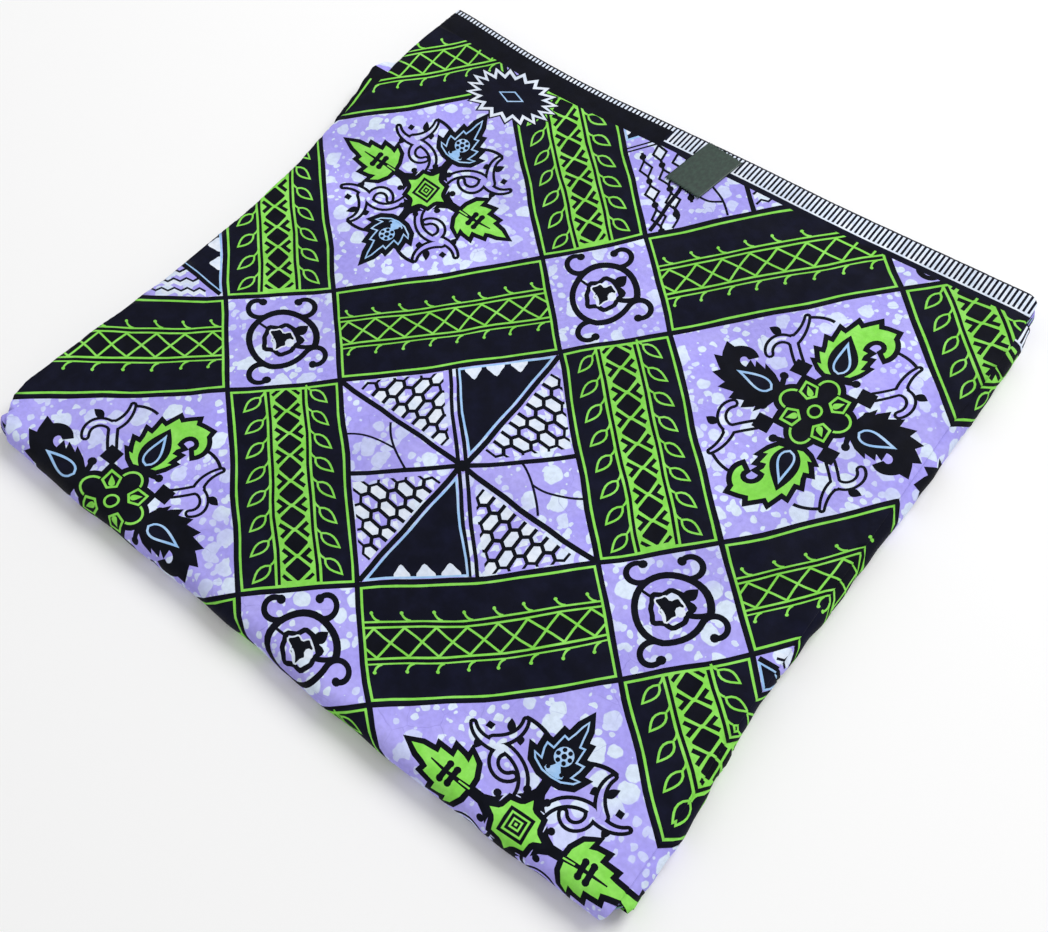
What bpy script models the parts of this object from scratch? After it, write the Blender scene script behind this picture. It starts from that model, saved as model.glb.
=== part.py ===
"""Folded length of printed cotton cloth, lying flat: outer panel, second panel, inner layers and label.

Metres, Z up. The cloth rests on Z = 0, its cut selvedge edges face +Y and its long rolled fold faces -Y.
"""
import math

import bpy

# Wall and gap
WALL = 0.0015
GAP = 0.0003
LABEL_WALL = 0.0008

# Whole bundle, first laid out with straight sides, then bent and moved so that its box is centred
BUNDLE_HEIGHT = 0.024
SELVEDGE_Y = 0.2945
ROLL_Y = -0.2945
BOX_SHIFT_Y = 0.0026

# Long rolled fold of the outer panel, half of an ellipse
ROLL_REACH = 0.014
ROLL_HALF = BUNDLE_HEIGHT / 2
ROLL_CENTRE_Y = ROLL_Y + ROLL_REACH

# Lower half of the outer panel, kept a little inside the upper half
LOWER_INSET = 0.0030
LOWER_LEFT_X = -0.2930
LOWER_RIGHT_X = 0.2960
LOWER_END_Y = 0.2885

# Second panel: its surface lies one wall and one gap below the outer panel
SECOND_TOP = BUNDLE_HEIGHT - WALL - GAP
SECOND_SELVEDGE_Y = 0.2683
SECOND_NEAR_Y = ROLL_CENTRE_Y + 0.0010
SECOND_REACH = 0.0110
SECOND_FOOT = 0.0022
SECOND_HALF = (SECOND_TOP - SECOND_FOOT) / 2
SECOND_MIDDLE_Z = SECOND_FOOT + SECOND_HALF
SECOND_LAST_ANGLE = math.radians(-72.0)
SECOND_LIP = 0.0010

# Inner layers, with a little loose space above them
LOOSE = 0.0004
STACK_TOP = SECOND_TOP - WALL - GAP - LOOSE
STACK_FOOT = WALL + GAP
LAYER_NOSES = 7
NOSE_DEPTH = 0.0009
NOSE_SHIFT = 0.0011
NOSE_SHIFT_TIGHT = 0.4
NOSE_TURN = 2.4
NOSE_WANDER = 1.7
STACK_EDGE_INSET = 0.0040
STACK_CORNER = 0.0120
CORE_INSET = 0.0010

# Soft surface waves and the droop of the open edges, all measured downwards
WAVE_A = 0.00035
WAVE_A_LENGTH_X = 0.31
WAVE_A_LENGTH_Y = 0.47
WAVE_A_PHASE = 0.6
WAVE_B = 0.00025
WAVE_B_LENGTH_X = 0.19
WAVE_B_LENGTH_Y = -0.23
WAVE_B_PHASE = 1.9
LEFT_DROOP = 0.0010
LEFT_DROOP_WIDTH = 0.018
BACK_DROOP = 0.0008
BACK_DROOP_WIDTH = 0.016

# Left edge of the outer panel, from the back to the rolled fold
OUTER_LEFT_Y = (0.300, 0.267, 0.243, 0.220, 0.200, 0.188, 0.164, 0.144, 0.120, 0.100, 0.085, 0.067, 0.052, 0.026,
                -0.012, -0.067, -0.103, -0.144, -0.192, -0.227, -0.250, -0.263, -0.272, -0.280, -0.287, -0.300)
OUTER_LEFT_X = (-0.2998, -0.3007, -0.3019, -0.3018, -0.3008, -0.2995, -0.2975, -0.2980, -0.2965, -0.2950,
                -0.2930, -0.2904, -0.2878, -0.2868, -0.2852, -0.2872, -0.2884, -0.2925, -0.2981, -0.3011,
                -0.3032, -0.3014, -0.2970, -0.2905, -0.2840, -0.2770)

# Right side of the outer panel: a folded crease with a rounded corner at the selvedge
OUTER_RIGHT_Y = (0.2945, 0.291, 0.287, 0.270, 0.215, 0.134, 0.053, -0.050, -0.162, -0.200, -0.300)
OUTER_RIGHT_X = (0.3005, 0.3055, 0.3075, 0.3080, 0.3080, 0.3048, 0.3044, 0.3030, 0.3020, 0.3040, 0.3038)

# Left edge of the second panel: it shows beside the outer panel only near the back. A narrow lip ends it
SECOND_LEFT_Y = (0.300, 0.216, 0.203, 0.196, 0.1853, 0.172, 0.146, 0.130, 0.118, 0.100, 0.050, -0.074, -0.180,
                 -0.250, -0.300)
SECOND_LEFT_X = (-0.2980, -0.2990, -0.3000, -0.3125, -0.3168, -0.3132, -0.3060, -0.3028, -0.3002, -0.2930,
                 -0.2860, -0.2860, -0.2945, -0.3010, -0.2780)

# Right side of the second panel, the furthest point of its roll
SECOND_RIGHT_Y = (0.300, 0.268, 0.242, 0.210, 0.180, 0.150, 0.122, 0.093, 0.064, 0.037, 0.011, -0.014,
                  -0.039, -0.063, -0.110, -0.133, -0.177, -0.198, -0.219, -0.300)
SECOND_RIGHT_X = (0.3143, 0.3143, 0.3165, 0.3168, 0.3165, 0.3160, 0.3152, 0.3148, 0.3144, 0.3116, 0.3114, 0.3102,
                  0.3097, 0.3078, 0.3055, 0.3062, 0.3093, 0.3116, 0.3128, 0.3128)

# How the selvedge side and the rolled side bend away from straight lines, along x
BACK_BEND_X = (-0.300, -0.2576, -0.191, -0.115, -0.030, 0.050, 0.130, 0.210, 0.3038)
BACK_BEND = (0.0000, -0.0050, -0.0118, -0.0142, -0.0125, -0.0108, -0.0106, -0.0078, -0.0050)
ROLL_BEND_X = (-0.300, -0.210, -0.105, 0.000, 0.065, 0.140, 0.220, 0.300)
ROLL_BEND = (0.0000, -0.0032, -0.0024, -0.0028, -0.0048, -0.0044, -0.0026, 0.0006)

# Label: the middle of its two pinked ends, its width and its teeth
LABEL_NEAR_END = (0.0103, 0.2320)
LABEL_FAR_END = (0.0189, 0.2912)
LABEL_WIDTH = 0.0375
LABEL_TEETH = 14
LABEL_TOOTH = 0.0022
LABEL_ROWS = 10

# Mesh density
EDGE_LINES = 4
OUTER_COLUMNS = 18
FLAT_ROWS = 18
OUTER_ROLL_ROWS = 10
OUTER_LOWER_ROWS = 5
SECOND_FLAT_COLUMNS = 16
SECOND_ROLL_COLUMNS = 7
STACK_SIDE_POINTS = 20
STACK_CORNER_POINTS = 4
STACK_CAP_SCALES = (0.98, 0.95, 0.8, 0.6, 0.4, 0.2)

STEP = 1e-5


def smooth(value):
    """Smooth step from 0 to 1."""
    value = min(1.0, max(0.0, value))
    return value * value * (3.0 - 2.0 * value)


def along(table_y, table_x, y):
    """Edge position at y, read from a table that runs from high y to low y."""
    if y >= table_y[0]:
        return table_x[0]
    for k in range(len(table_y) - 1):
        if y >= table_y[k + 1]:
            part = (table_y[k] - y) / (table_y[k] - table_y[k + 1])
            return table_x[k] + (table_x[k + 1] - table_x[k]) * smooth(part)
    return table_x[-1]


def through(table_x, table_value, x):
    """Value at x on a smooth curve through the points of a table."""
    x = min(max(x, table_x[0]), table_x[-1])
    k = 0
    while k < len(table_x) - 2 and x > table_x[k + 1]:
        k += 1
    span = table_x[k + 1] - table_x[k]

    def slope(j):
        before = max(j - 1, 0)
        after = min(j + 1, len(table_x) - 1)
        return (table_value[after] - table_value[before]) / (table_x[after] - table_x[before]) * span

    part = (x - table_x[k]) / span
    rise = smooth(part)
    start = part * (1.0 - part) * (1.0 - part) * slope(k)
    end = part * part * (1.0 - part) * slope(k + 1)
    return table_value[k] * (1.0 - rise) + table_value[k + 1] * rise + start - end


def settled(point):
    """Point of the straight-sided bundle, moved to where the cloth lies."""
    x, y, z = point
    back = through(BACK_BEND_X, BACK_BEND, x) * smooth(y / SELVEDGE_Y)
    roll = through(ROLL_BEND_X, ROLL_BEND, x) * smooth(y / ROLL_Y)
    return (x, y + back + roll + BOX_SHIFT_Y, z)


def outer_left(y):
    return along(OUTER_LEFT_Y, OUTER_LEFT_X, y)


def drop(x, y):
    """How far the top surface lies below the bundle's full height."""
    wave_a = math.sin(math.tau * (x / WAVE_A_LENGTH_X + y / WAVE_A_LENGTH_Y) + WAVE_A_PHASE)
    wave_b = math.sin(math.tau * (x / WAVE_B_LENGTH_X + y / WAVE_B_LENGTH_Y) + WAVE_B_PHASE)
    waves = WAVE_A * (0.5 + 0.5 * wave_a) + WAVE_B * (0.5 + 0.5 * wave_b)
    waves *= smooth((y - ROLL_CENTRE_Y) / ROLL_REACH)
    left = LEFT_DROOP * smooth((outer_left(y) + LEFT_DROOP_WIDTH - x) / LEFT_DROOP_WIDTH)
    back = BACK_DROOP * smooth((y - SELVEDGE_Y + BACK_DROOP_WIDTH) / BACK_DROOP_WIDTH)
    return waves + left + back


def outer_point(x, t):
    """Outer panel at x, t metres from the selvedge along its flat top, roll and lower half."""
    flat = SELVEDGE_Y - ROLL_CENTRE_Y
    roll = math.pi * (ROLL_REACH + ROLL_HALF) / 2
    if t <= flat:
        y = SELVEDGE_Y - t
        return (x, y, BUNDLE_HEIGHT - drop(x, y))
    if t <= flat + roll:
        angle = math.pi * (t - flat) / roll
        lift = 1.0 + math.cos(angle)
        left = drop(x, ROLL_CENTRE_Y) * 0.5 * lift
        return (x, ROLL_CENTRE_Y - ROLL_REACH * math.sin(angle), ROLL_HALF * lift - left)
    return (x, ROLL_CENTRE_Y + (t - flat - roll), 0.0)


def second_point(s, y):
    """Second panel at y, s metres from its roll: negative on the flat top, positive down the roll."""
    right = along(SECOND_RIGHT_Y, SECOND_RIGHT_X, y)
    centre = right - SECOND_REACH
    if s <= 0.0:
        x = centre + s
        return (x, y, SECOND_TOP - drop(x, y))
    angle = math.pi / 2 - s
    fall = drop(centre, y) * 0.5 * (1.0 + math.sin(angle))
    return (centre + SECOND_REACH * math.cos(angle), y, SECOND_MIDDLE_Z + SECOND_HALF * math.sin(angle) - fall)


def face_normal(surface, a, b):
    """Unit normal of a surface at (a, b), by small steps."""
    p = surface(a + STEP, b)
    q = surface(a - STEP, b)
    r = surface(a, b + STEP)
    s = surface(a, b - STEP)
    u = [p[k] - q[k] for k in range(3)]
    v = [r[k] - s[k] for k in range(3)]
    n = (u[1] * v[2] - u[2] * v[1], u[2] * v[0] - u[0] * v[2], u[0] * v[1] - u[1] * v[0])
    size = math.sqrt(sum(c * c for c in n))
    return tuple(c / size for c in n)


def shifted(point, normal, distance):
    return tuple(point[k] + normal[k] * distance for k in range(3))


def add_object(name, points, faces, color, roughness):
    mesh = bpy.data.meshes.new(name)
    mesh.from_pydata([settled(p) for p in points], [], faces)
    mesh.validate()
    mesh.update()
    item = bpy.data.objects.new(name, mesh)
    bpy.context.scene.collection.objects.link(item)
    material = bpy.data.materials.new(name)
    material.use_nodes = True
    shader = material.node_tree.nodes["Principled BSDF"]
    shader.inputs["Base Color"].default_value = (*color, 1.0)
    shader.inputs["Roughness"].default_value = roughness
    mesh.materials.append(material)
    return item


def add_wall(name, outer, inner, color, roughness):
    """Closed wall between two grids of points. The outer grid's faces look outwards."""
    rows = len(outer)
    columns = len(outer[0])
    points = [p for row in outer for p in row] + [p for row in inner for p in row]
    half = rows * columns
    faces = []
    for j in range(rows - 1):
        for i in range(columns - 1):
            a = j * columns + i
            b = a + 1
            c = a + columns + 1
            d = a + columns
            faces.append((a, d, c, b))
            faces.append((half + a, half + b, half + c, half + d))
    border = [i for i in range(columns)]
    border += [j * columns + columns - 1 for j in range(1, rows)]
    border += [(rows - 1) * columns + i for i in range(columns - 2, -1, -1)]
    border += [j * columns for j in range(rows - 2, 0, -1)]
    for k in range(len(border)):
        a = border[k]
        b = border[(k + 1) % len(border)]
        faces.append((a, b, half + b, half + a))
    return add_object(name, points, faces, color, roughness)


def spread(first, last, count):
    return [first + (last - first) * k / count for k in range(count + 1)]


def spread_after_edge(first, last, edge, edge_lines, count):
    """Lines from first to last, with closer lines over the drooping edge at first."""
    turn = first + math.copysign(edge, last - first)
    return spread(first, turn, edge_lines)[:-1] + spread(turn, last, count)


def flat_rows():
    """Lines across the flat top, as distances from the selvedge."""
    return spread_after_edge(0.0, SELVEDGE_Y - ROLL_CENTRE_Y, BACK_DROOP_WIDTH, EDGE_LINES, FLAT_ROWS)


def build_outer():
    """Outer panel: top, roll and lower half in one wall."""
    flat = SELVEDGE_Y - ROLL_CENTRE_Y
    roll = math.pi * (ROLL_REACH + ROLL_HALF) / 2
    rows = flat_rows()
    rows += spread(flat, flat + roll, OUTER_ROLL_ROWS)[1:]
    rows += spread(flat + roll, flat + roll + LOWER_END_Y - ROLL_CENTRE_Y, OUTER_LOWER_ROWS)[1:]
    outer = []
    inner = []
    for t in rows:
        turn = smooth((t - flat) / roll)
        y = max(SELVEDGE_Y - t, ROLL_Y)
        lower_left = max(outer_left(outer_point(0.0, t)[1]) + LOWER_INSET, LOWER_LEFT_X)
        left = outer_left(y) * (1.0 - turn) + lower_left * turn
        right = along(OUTER_RIGHT_Y, OUTER_RIGHT_X, y) * (1.0 - turn) + LOWER_RIGHT_X * turn
        columns = spread_after_edge(left, right, LEFT_DROOP_WIDTH, EDGE_LINES, OUTER_COLUMNS)
        line = [(outer_point(x, t), face_normal(outer_point, x, t)) for x in columns]
        outer.append([p for p, n in line])
        inner.append([shifted(p, n, WALL) for p, n in line])
    return add_wall("top_panel", outer, inner, (0.33, 0.28, 0.62), 0.75)


def build_second():
    """Second panel: flat top and the roll down its right side."""
    outer = []
    inner = []
    rows = [SELVEDGE_Y - t for t in flat_rows()]
    rows = [y for y in rows if SECOND_NEAR_Y < y < SECOND_SELVEDGE_Y]
    for y in [SECOND_SELVEDGE_Y] + rows + [SECOND_NEAR_Y]:
        left = along(SECOND_LEFT_Y, SECOND_LEFT_X, y)
        centre = along(SECOND_RIGHT_Y, SECOND_RIGHT_X, y) - SECOND_REACH
        edge = outer_left(y)
        turn = edge + LEFT_DROOP_WIDTH
        lines = [left, max(edge, left + SECOND_LIP)] + spread(edge, turn, EDGE_LINES)[1:]
        lines += spread(turn, centre, SECOND_FLAT_COLUMNS)[1:]
        columns = [x - centre for x in lines]
        columns += spread(0.0, math.pi / 2 - SECOND_LAST_ANGLE, SECOND_ROLL_COLUMNS)[1:]
        line = [(second_point(s, y), face_normal(second_point, s, y)) for s in columns]
        outer.append([p for p, n in line])
        inner.append([shifted(p, n, -WALL) for p, n in line])
    return add_wall("second_panel", outer, inner, (0.36, 0.30, 0.64), 0.75)


def stack_border():
    """Core outline of the inner layers, anticlockwise, each point with its outward way and its side."""
    border = []
    near_y = ROLL_CENTRE_Y
    far_y = SELVEDGE_Y - STACK_EDGE_INSET - STACK_CORNER
    first_y = near_y + STACK_CORNER
    for y in spread(first_y, far_y, STACK_SIDE_POINTS):
        right = along(SECOND_RIGHT_Y, SECOND_RIGHT_X, y) - SECOND_REACH - CORE_INSET
        border.append((right, y, 1.0, 0.0, "right"))
    corners = (
        (border[-1][0] - STACK_CORNER, far_y, 0.0, "right", "back"),
        (outer_left(far_y) + STACK_EDGE_INSET + STACK_CORNER, far_y, math.pi / 2, "back", "left"),
        (outer_left(first_y) + STACK_EDGE_INSET + STACK_CORNER, first_y, math.pi, "left", "near"),
        (border[0][0] - STACK_CORNER, first_y, 1.5 * math.pi, "near", "right"),
    )

    def add_corner(corner):
        x, y, start, side, after = corner
        for k in range(1, STACK_CORNER_POINTS):
            angle = start + math.pi / 2 * k / STACK_CORNER_POINTS
            way = (math.cos(angle), math.sin(angle))
            name = side if 2 * k < STACK_CORNER_POINTS else after
            border.append((x + STACK_CORNER * way[0], y + STACK_CORNER * way[1], *way, name))

    add_corner(corners[0])
    for x in spread(corners[0][0], corners[1][0], STACK_SIDE_POINTS):
        border.append((x, far_y + STACK_CORNER, 0.0, 1.0, "back"))
    add_corner(corners[1])
    for y in spread(far_y, first_y, STACK_SIDE_POINTS):
        border.append((outer_left(y) + STACK_EDGE_INSET, y, -1.0, 0.0, "left"))
    add_corner(corners[2])
    for x in spread(corners[2][0], corners[3][0], STACK_SIDE_POINTS):
        border.append((x, near_y, 0.0, -1.0, "near"))
    add_corner(corners[3])
    return border


def side_reach(side, z):
    """How far the layers reach out of the core outline at height z."""
    if side == "right":
        depth = SECOND_REACH - WALL - GAP - LOOSE
        level = (z - SECOND_MIDDLE_Z) / (SECOND_HALF - WALL - GAP)
    elif side == "near":
        depth = ROLL_REACH - WALL - GAP - LOOSE
        level = (z - ROLL_HALF) / (ROLL_HALF - WALL - GAP)
    else:
        depth = STACK_EDGE_INSET - CORE_INSET
        level = (z - ROLL_HALF) / (ROLL_HALF - WALL)
    return depth * math.sqrt(max(0.0, 1.0 - level * level))


def build_stack():
    """Inner layers: one rounded solid whose sides show the folded edges of the layers."""
    border = stack_border()
    count = len(border)
    levels = spread(STACK_FOOT, STACK_TOP, 2 * LAYER_NOSES)
    points = []
    for j, z in enumerate(levels):
        valley = NOSE_DEPTH if j % 2 == 0 else 0.0
        layer = j // 2
        for k, (x, y, way_x, way_y, side) in enumerate(border):
            turn = NOSE_TURN * layer + NOSE_WANDER * math.sin(math.tau * k / count)
            shift = NOSE_SHIFT * 0.5 * (1.0 + math.sin(turn))
            if side in ("right", "near"):
                shift *= NOSE_SHIFT_TIGHT
            reach = max(0.0, side_reach(side, z) - shift) - valley
            px = x + way_x * reach
            py = y + way_y * reach
            fall = drop(px, py) * (z - STACK_FOOT) / (STACK_TOP - STACK_FOOT)
            points.append((px, py, z - fall))
    faces = []
    for j in range(len(levels) - 1):
        for k in range(count):
            a = j * count + k
            b = j * count + (k + 1) % count
            faces.append((a, b, b + count, a + count))
    faces.append(tuple(range(count - 1, -1, -1)))
    ring = (len(levels) - 1) * count
    middle_x = sum(points[ring + k][0] for k in range(count)) / count
    middle_y = sum(points[ring + k][1] for k in range(count)) / count
    last = ring
    for scale in STACK_CAP_SCALES:
        start = len(points)
        for k in range(count):
            x = middle_x + (points[ring + k][0] - middle_x) * scale
            y = middle_y + (points[ring + k][1] - middle_y) * scale
            points.append((x, y, STACK_TOP - drop(x, y)))
        for k in range(count):
            after = (k + 1) % count
            faces.append((last + k, last + after, start + after, start + k))
        last = start
    centre = len(points)
    points.append((middle_x, middle_y, STACK_TOP - drop(middle_x, middle_y)))
    for k in range(count):
        faces.append((last + k, last + (k + 1) % count, centre))
    return add_object("folded_stack", points, faces, (0.10, 0.09, 0.22), 0.8)


def build_label():
    """Small label on the selvedge, its two short ends cut in teeth."""
    near_x, near_y = LABEL_NEAR_END
    far_x, far_y = LABEL_FAR_END
    length = math.hypot(far_x - near_x, far_y - near_y)
    way = ((far_x - near_x) / length, (far_y - near_y) / length)
    side = (way[1], -way[0])

    def top(a, b):
        x = near_x + way[0] * b + side[0] * a
        y = near_y + way[1] * b + side[1] * a
        return (x, y, BUNDLE_HEIGHT - drop(x, y))

    outer = []
    inner = []
    for row in spread(1.0, 0.0, LABEL_ROWS):
        upper = []
        lower = []
        for k, a in enumerate(spread(-LABEL_WIDTH / 2, LABEL_WIDTH / 2, 2 * LABEL_TEETH)):
            notch = LABEL_TOOTH if k % 2 == 1 else 0.0
            b = notch + (length - 2 * notch) * row
            normal = face_normal(top, a, b)
            lower.append(shifted(top(a, b), normal, GAP))
            upper.append(shifted(top(a, b), normal, GAP + LABEL_WALL))
        outer.append(upper)
        inner.append(lower)
    return add_wall("selvedge_label", outer, inner, (0.035, 0.08, 0.07), 0.7)


for item in list(bpy.data.objects):
    bpy.data.objects.remove(item)
build_outer()
build_second()
build_stack()
build_label()
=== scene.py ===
import math

import bpy
import numpy as np
from mathutils import Matrix, Vector
from mathutils.geometry import delaunay_2d_cdt


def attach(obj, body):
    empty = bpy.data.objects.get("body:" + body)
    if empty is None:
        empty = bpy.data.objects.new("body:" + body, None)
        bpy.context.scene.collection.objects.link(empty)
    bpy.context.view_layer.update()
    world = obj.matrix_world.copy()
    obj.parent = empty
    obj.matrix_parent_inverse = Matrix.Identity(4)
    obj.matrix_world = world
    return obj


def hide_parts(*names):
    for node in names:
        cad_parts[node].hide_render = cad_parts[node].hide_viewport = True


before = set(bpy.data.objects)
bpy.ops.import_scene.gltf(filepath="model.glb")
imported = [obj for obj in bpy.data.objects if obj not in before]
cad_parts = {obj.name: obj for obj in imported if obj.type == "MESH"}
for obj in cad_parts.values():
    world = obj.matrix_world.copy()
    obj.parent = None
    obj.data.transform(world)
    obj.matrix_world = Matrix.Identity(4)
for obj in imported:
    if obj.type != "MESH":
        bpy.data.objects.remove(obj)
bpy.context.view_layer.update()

# Sizes shared with the CAD part, in metres
WALL = 0.0015
GAP = 0.0003
BUNDLE_HEIGHT = 0.024
SELVEDGE_Y = 0.2945
ROLL_Y = -0.2945
ROLL_REACH = 0.014
ROLL_HALF = BUNDLE_HEIGHT / 2
ROLL_CENTRE_Y = ROLL_Y + ROLL_REACH
LOWER_LEFT_X = -0.2930
LOWER_RIGHT_X = 0.2960
LOWER_END_Y = 0.2885
SECOND_TOP = BUNDLE_HEIGHT - WALL - GAP
SECOND_SELVEDGE_Y = 0.2683
SECOND_NEAR_Y = ROLL_CENTRE_Y + 0.0010
SECOND_REACH = 0.0110
SECOND_FOOT = 0.0022
SECOND_HALF = (SECOND_TOP - SECOND_FOOT) / 2
SECOND_MIDDLE_Z = SECOND_FOOT + SECOND_HALF
SECOND_LAST_ANGLE = math.radians(-72.0)
STACK_TOP = SECOND_TOP - WALL - GAP - 0.0004
STACK_FOOT = WALL + GAP
STACK_EDGE_INSET = 0.0040
STACK_CORNER = 0.0120
CORE_INSET = 0.0010
WAVES = ((0.00035, 0.31, 0.47, 0.6), (0.00025, 0.19, -0.23, 1.9))
LEFT_DROOP, LEFT_DROOP_WIDTH = 0.0010, 0.018
BACK_DROOP, BACK_DROOP_WIDTH = 0.0008, 0.016
OUTER_LEFT_Y = (0.300, 0.267, 0.243, 0.220, 0.200, 0.188, 0.164, 0.144, 0.120, 0.100, 0.085, 0.067, 0.052,
                0.026, -0.012, -0.067, -0.103, -0.144, -0.192, -0.227, -0.250, -0.263, -0.272, -0.280,
                -0.287, -0.300)
OUTER_LEFT_X = (-0.2998, -0.3007, -0.3019, -0.3018, -0.3008, -0.2995, -0.2975, -0.2980, -0.2965, -0.2950,
                -0.2930, -0.2904, -0.2878, -0.2868, -0.2852, -0.2872, -0.2884, -0.2925, -0.2981, -0.3011,
                -0.3032, -0.3014, -0.2970, -0.2905, -0.2840, -0.2770)
OUTER_RIGHT_Y = (0.2945, 0.291, 0.287, 0.270, 0.215, 0.134, 0.053, -0.050, -0.162, -0.200, -0.300)
OUTER_RIGHT_X = (0.3005, 0.3055, 0.3075, 0.3080, 0.3080, 0.3048, 0.3044, 0.3030, 0.3020, 0.3040, 0.3038)
SECOND_LEFT_Y = (0.300, 0.216, 0.203, 0.196, 0.1853, 0.172, 0.146, 0.130, 0.118, 0.100, 0.050, -0.074, -0.180,
                 -0.250, -0.300)
SECOND_LEFT_X = (-0.2980, -0.2990, -0.3000, -0.3125, -0.3168, -0.3132, -0.3060, -0.3028, -0.3002, -0.2930,
                 -0.2860, -0.2860, -0.2945, -0.3010, -0.2780)
SECOND_RIGHT_Y = (0.300, 0.268, 0.242, 0.210, 0.180, 0.150, 0.122, 0.093, 0.064, 0.037, 0.011, -0.014,
                  -0.039, -0.063, -0.110, -0.133, -0.177, -0.198, -0.219, -0.300)
SECOND_RIGHT_X = (0.3143, 0.3143, 0.3165, 0.3168, 0.3165, 0.3160, 0.3152, 0.3148, 0.3144, 0.3116, 0.3114,
                  0.3102, 0.3097, 0.3078, 0.3055, 0.3062, 0.3093, 0.3116, 0.3128, 0.3128)
BACK_BEND_X = (-0.300, -0.2576, -0.191, -0.115, -0.030, 0.050, 0.130, 0.210, 0.3038)
BACK_BEND = (0.0000, -0.0050, -0.0118, -0.0142, -0.0125, -0.0108, -0.0106, -0.0078, -0.0050)
ROLL_BEND_X = (-0.300, -0.210, -0.105, 0.000, 0.065, 0.140, 0.220, 0.300)
ROLL_BEND = (0.0000, -0.0032, -0.0024, -0.0028, -0.0048, -0.0044, -0.0026, 0.0006)
BOX_SHIFT_Y = 0.0026
LOWER_INSET = 0.0030
LOOSE = 0.0004
LABEL_NEAR_END = (0.0103, 0.2320)
LABEL_FAR_END = (0.0189, 0.2912)
LABEL_WIDTH = 0.0375
LABEL_TEETH = 14
LABEL_TOOTH = 0.0022

# Print: lattice position of a place on the flat cloth, the place in units of PRINT_UNIT metres. It was
# fitted to where the print's strips cross in the photo. Rows give u and v, columns the terms of POWERS:
# 1, x, y, x squared, x times y, y squared and so on
LATTICE = np.array([
    (2.5718, 2.3919, 2.4218, 0.0006, -0.0859, -0.1812, -0.0709, -0.0851, -0.1167, -0.0177,
     -0.0016, 0.0147, 0.0918, 0.0506, 0.0196),
    (0.9575, 2.3056, -2.1931, -0.0164, 0.0138, 0.4900, -0.0041, -0.0926, -0.0700, 0.0476,
     0.1740, 0.0544, -0.1564, -0.1237, -0.1614),
])
POWERS = tuple((degree - k, k) for degree in range(5) for k in range(degree + 1))
PRINT_UNIT = 0.3
PRINT_LIMIT = 1.05


# Print colours
INK, NAVY, LAVENDER, LIME, SKY, WHITE = range(6)


# Surfaces of the folded cloth
def smooth(value):
    value = np.clip(value, 0.0, 1.0)
    return value * value * (3.0 - 2.0 * value)


def along(table_y, table_x, y):
    """Edge position at y, read from a table that runs from high y to low y."""
    y = np.asarray(y, float)
    ys = np.array(table_y)
    xs = np.array(table_x)
    k = np.clip(np.searchsorted(-ys, -y, side="right") - 1, 0, len(ys) - 2)
    return xs[k] + (xs[k + 1] - xs[k]) * smooth((ys[k] - y) / (ys[k] - ys[k + 1]))


def outer_left(y):
    return along(OUTER_LEFT_Y, OUTER_LEFT_X, y)


def through(table_x, table_value, x):
    """Value at x on a smooth curve through the points of a table."""
    xs = np.array(table_x)
    values = np.array(table_value)
    x = np.clip(x, xs[0], xs[-1])
    every = np.arange(len(xs))
    k = np.clip(np.searchsorted(xs, x, side="left") - 1, 0, len(xs) - 2)
    before = np.maximum(every - 1, 0)
    after = np.minimum(every + 1, len(xs) - 1)
    slope = (values[after] - values[before]) / (xs[after] - xs[before])
    span = xs[k + 1] - xs[k]
    part = (x - xs[k]) / span
    rise = smooth(part)
    start = part * (1.0 - part) ** 2 * slope[k] * span
    end = part ** 2 * (1.0 - part) * slope[k + 1] * span
    return values[k] * (1.0 - rise) + values[k + 1] * rise + start - end


def settled(points):
    """Points of the straight-sided bundle, moved to where the cloth lies."""
    x, y, z = points[..., 0], points[..., 1], points[..., 2]
    back = through(BACK_BEND_X, BACK_BEND, x) * smooth(y / SELVEDGE_Y)
    roll = through(ROLL_BEND_X, ROLL_BEND, x) * smooth(y / ROLL_Y)
    return np.stack((x, y + back + roll + BOX_SHIFT_Y, z), axis=-1)


def outer_right(y):
    return along(OUTER_RIGHT_Y, OUTER_RIGHT_X, y)


def drop(x, y):
    total = 0.0
    for height, length_x, length_y, phase in WAVES:
        total = total + height * (0.5 + 0.5 * np.sin(math.tau * (x / length_x + y / length_y) + phase))
    total = total * smooth((y - ROLL_CENTRE_Y) / ROLL_REACH)
    left = LEFT_DROOP * smooth((outer_left(y) + LEFT_DROOP_WIDTH - x) / LEFT_DROOP_WIDTH)
    back = BACK_DROOP * smooth((y - SELVEDGE_Y + BACK_DROOP_WIDTH) / BACK_DROOP_WIDTH)
    return total + left + back


def lip(distance, radius):
    """Rounded turn-down of a folded edge: 0 on the flat, radius at the edge."""
    q = np.clip(1.0 - distance / radius, 0.0, 1.0)
    return radius * (1.0 - np.sqrt(1.0 - q * q))


# Soft creases, in metres: x and y of the start, x and y of the end, half width and depth (down is positive)
CREASES = (
    (-0.300, -0.010, 0.300, 0.004, 0.0050, 0.00045),
    (-0.095, 0.290, -0.100, -0.285, 0.0045, 0.00040),
    (0.105, 0.290, 0.098, -0.285, 0.0045, 0.00035),
    (-0.290, -0.150, -0.120, -0.285, 0.0100, 0.00070),
    (-0.260, -0.060, -0.080, -0.280, 0.0140, -0.00060),
    (0.060, -0.285, 0.300, -0.110, 0.0120, 0.00060),
    (0.130, -0.285, 0.300, -0.190, 0.0100, -0.00055),
    (-0.300, 0.150, -0.140, 0.290, 0.0120, 0.00060),
    (0.150, 0.290, 0.303, 0.150, 0.0110, 0.00055),
    (-0.290, 0.050, 0.120, 0.200, 0.0220, 0.00050),
    (0.010, 0.060, 0.290, -0.030, 0.0200, -0.00045),
)
PUCKERS = 34


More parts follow.
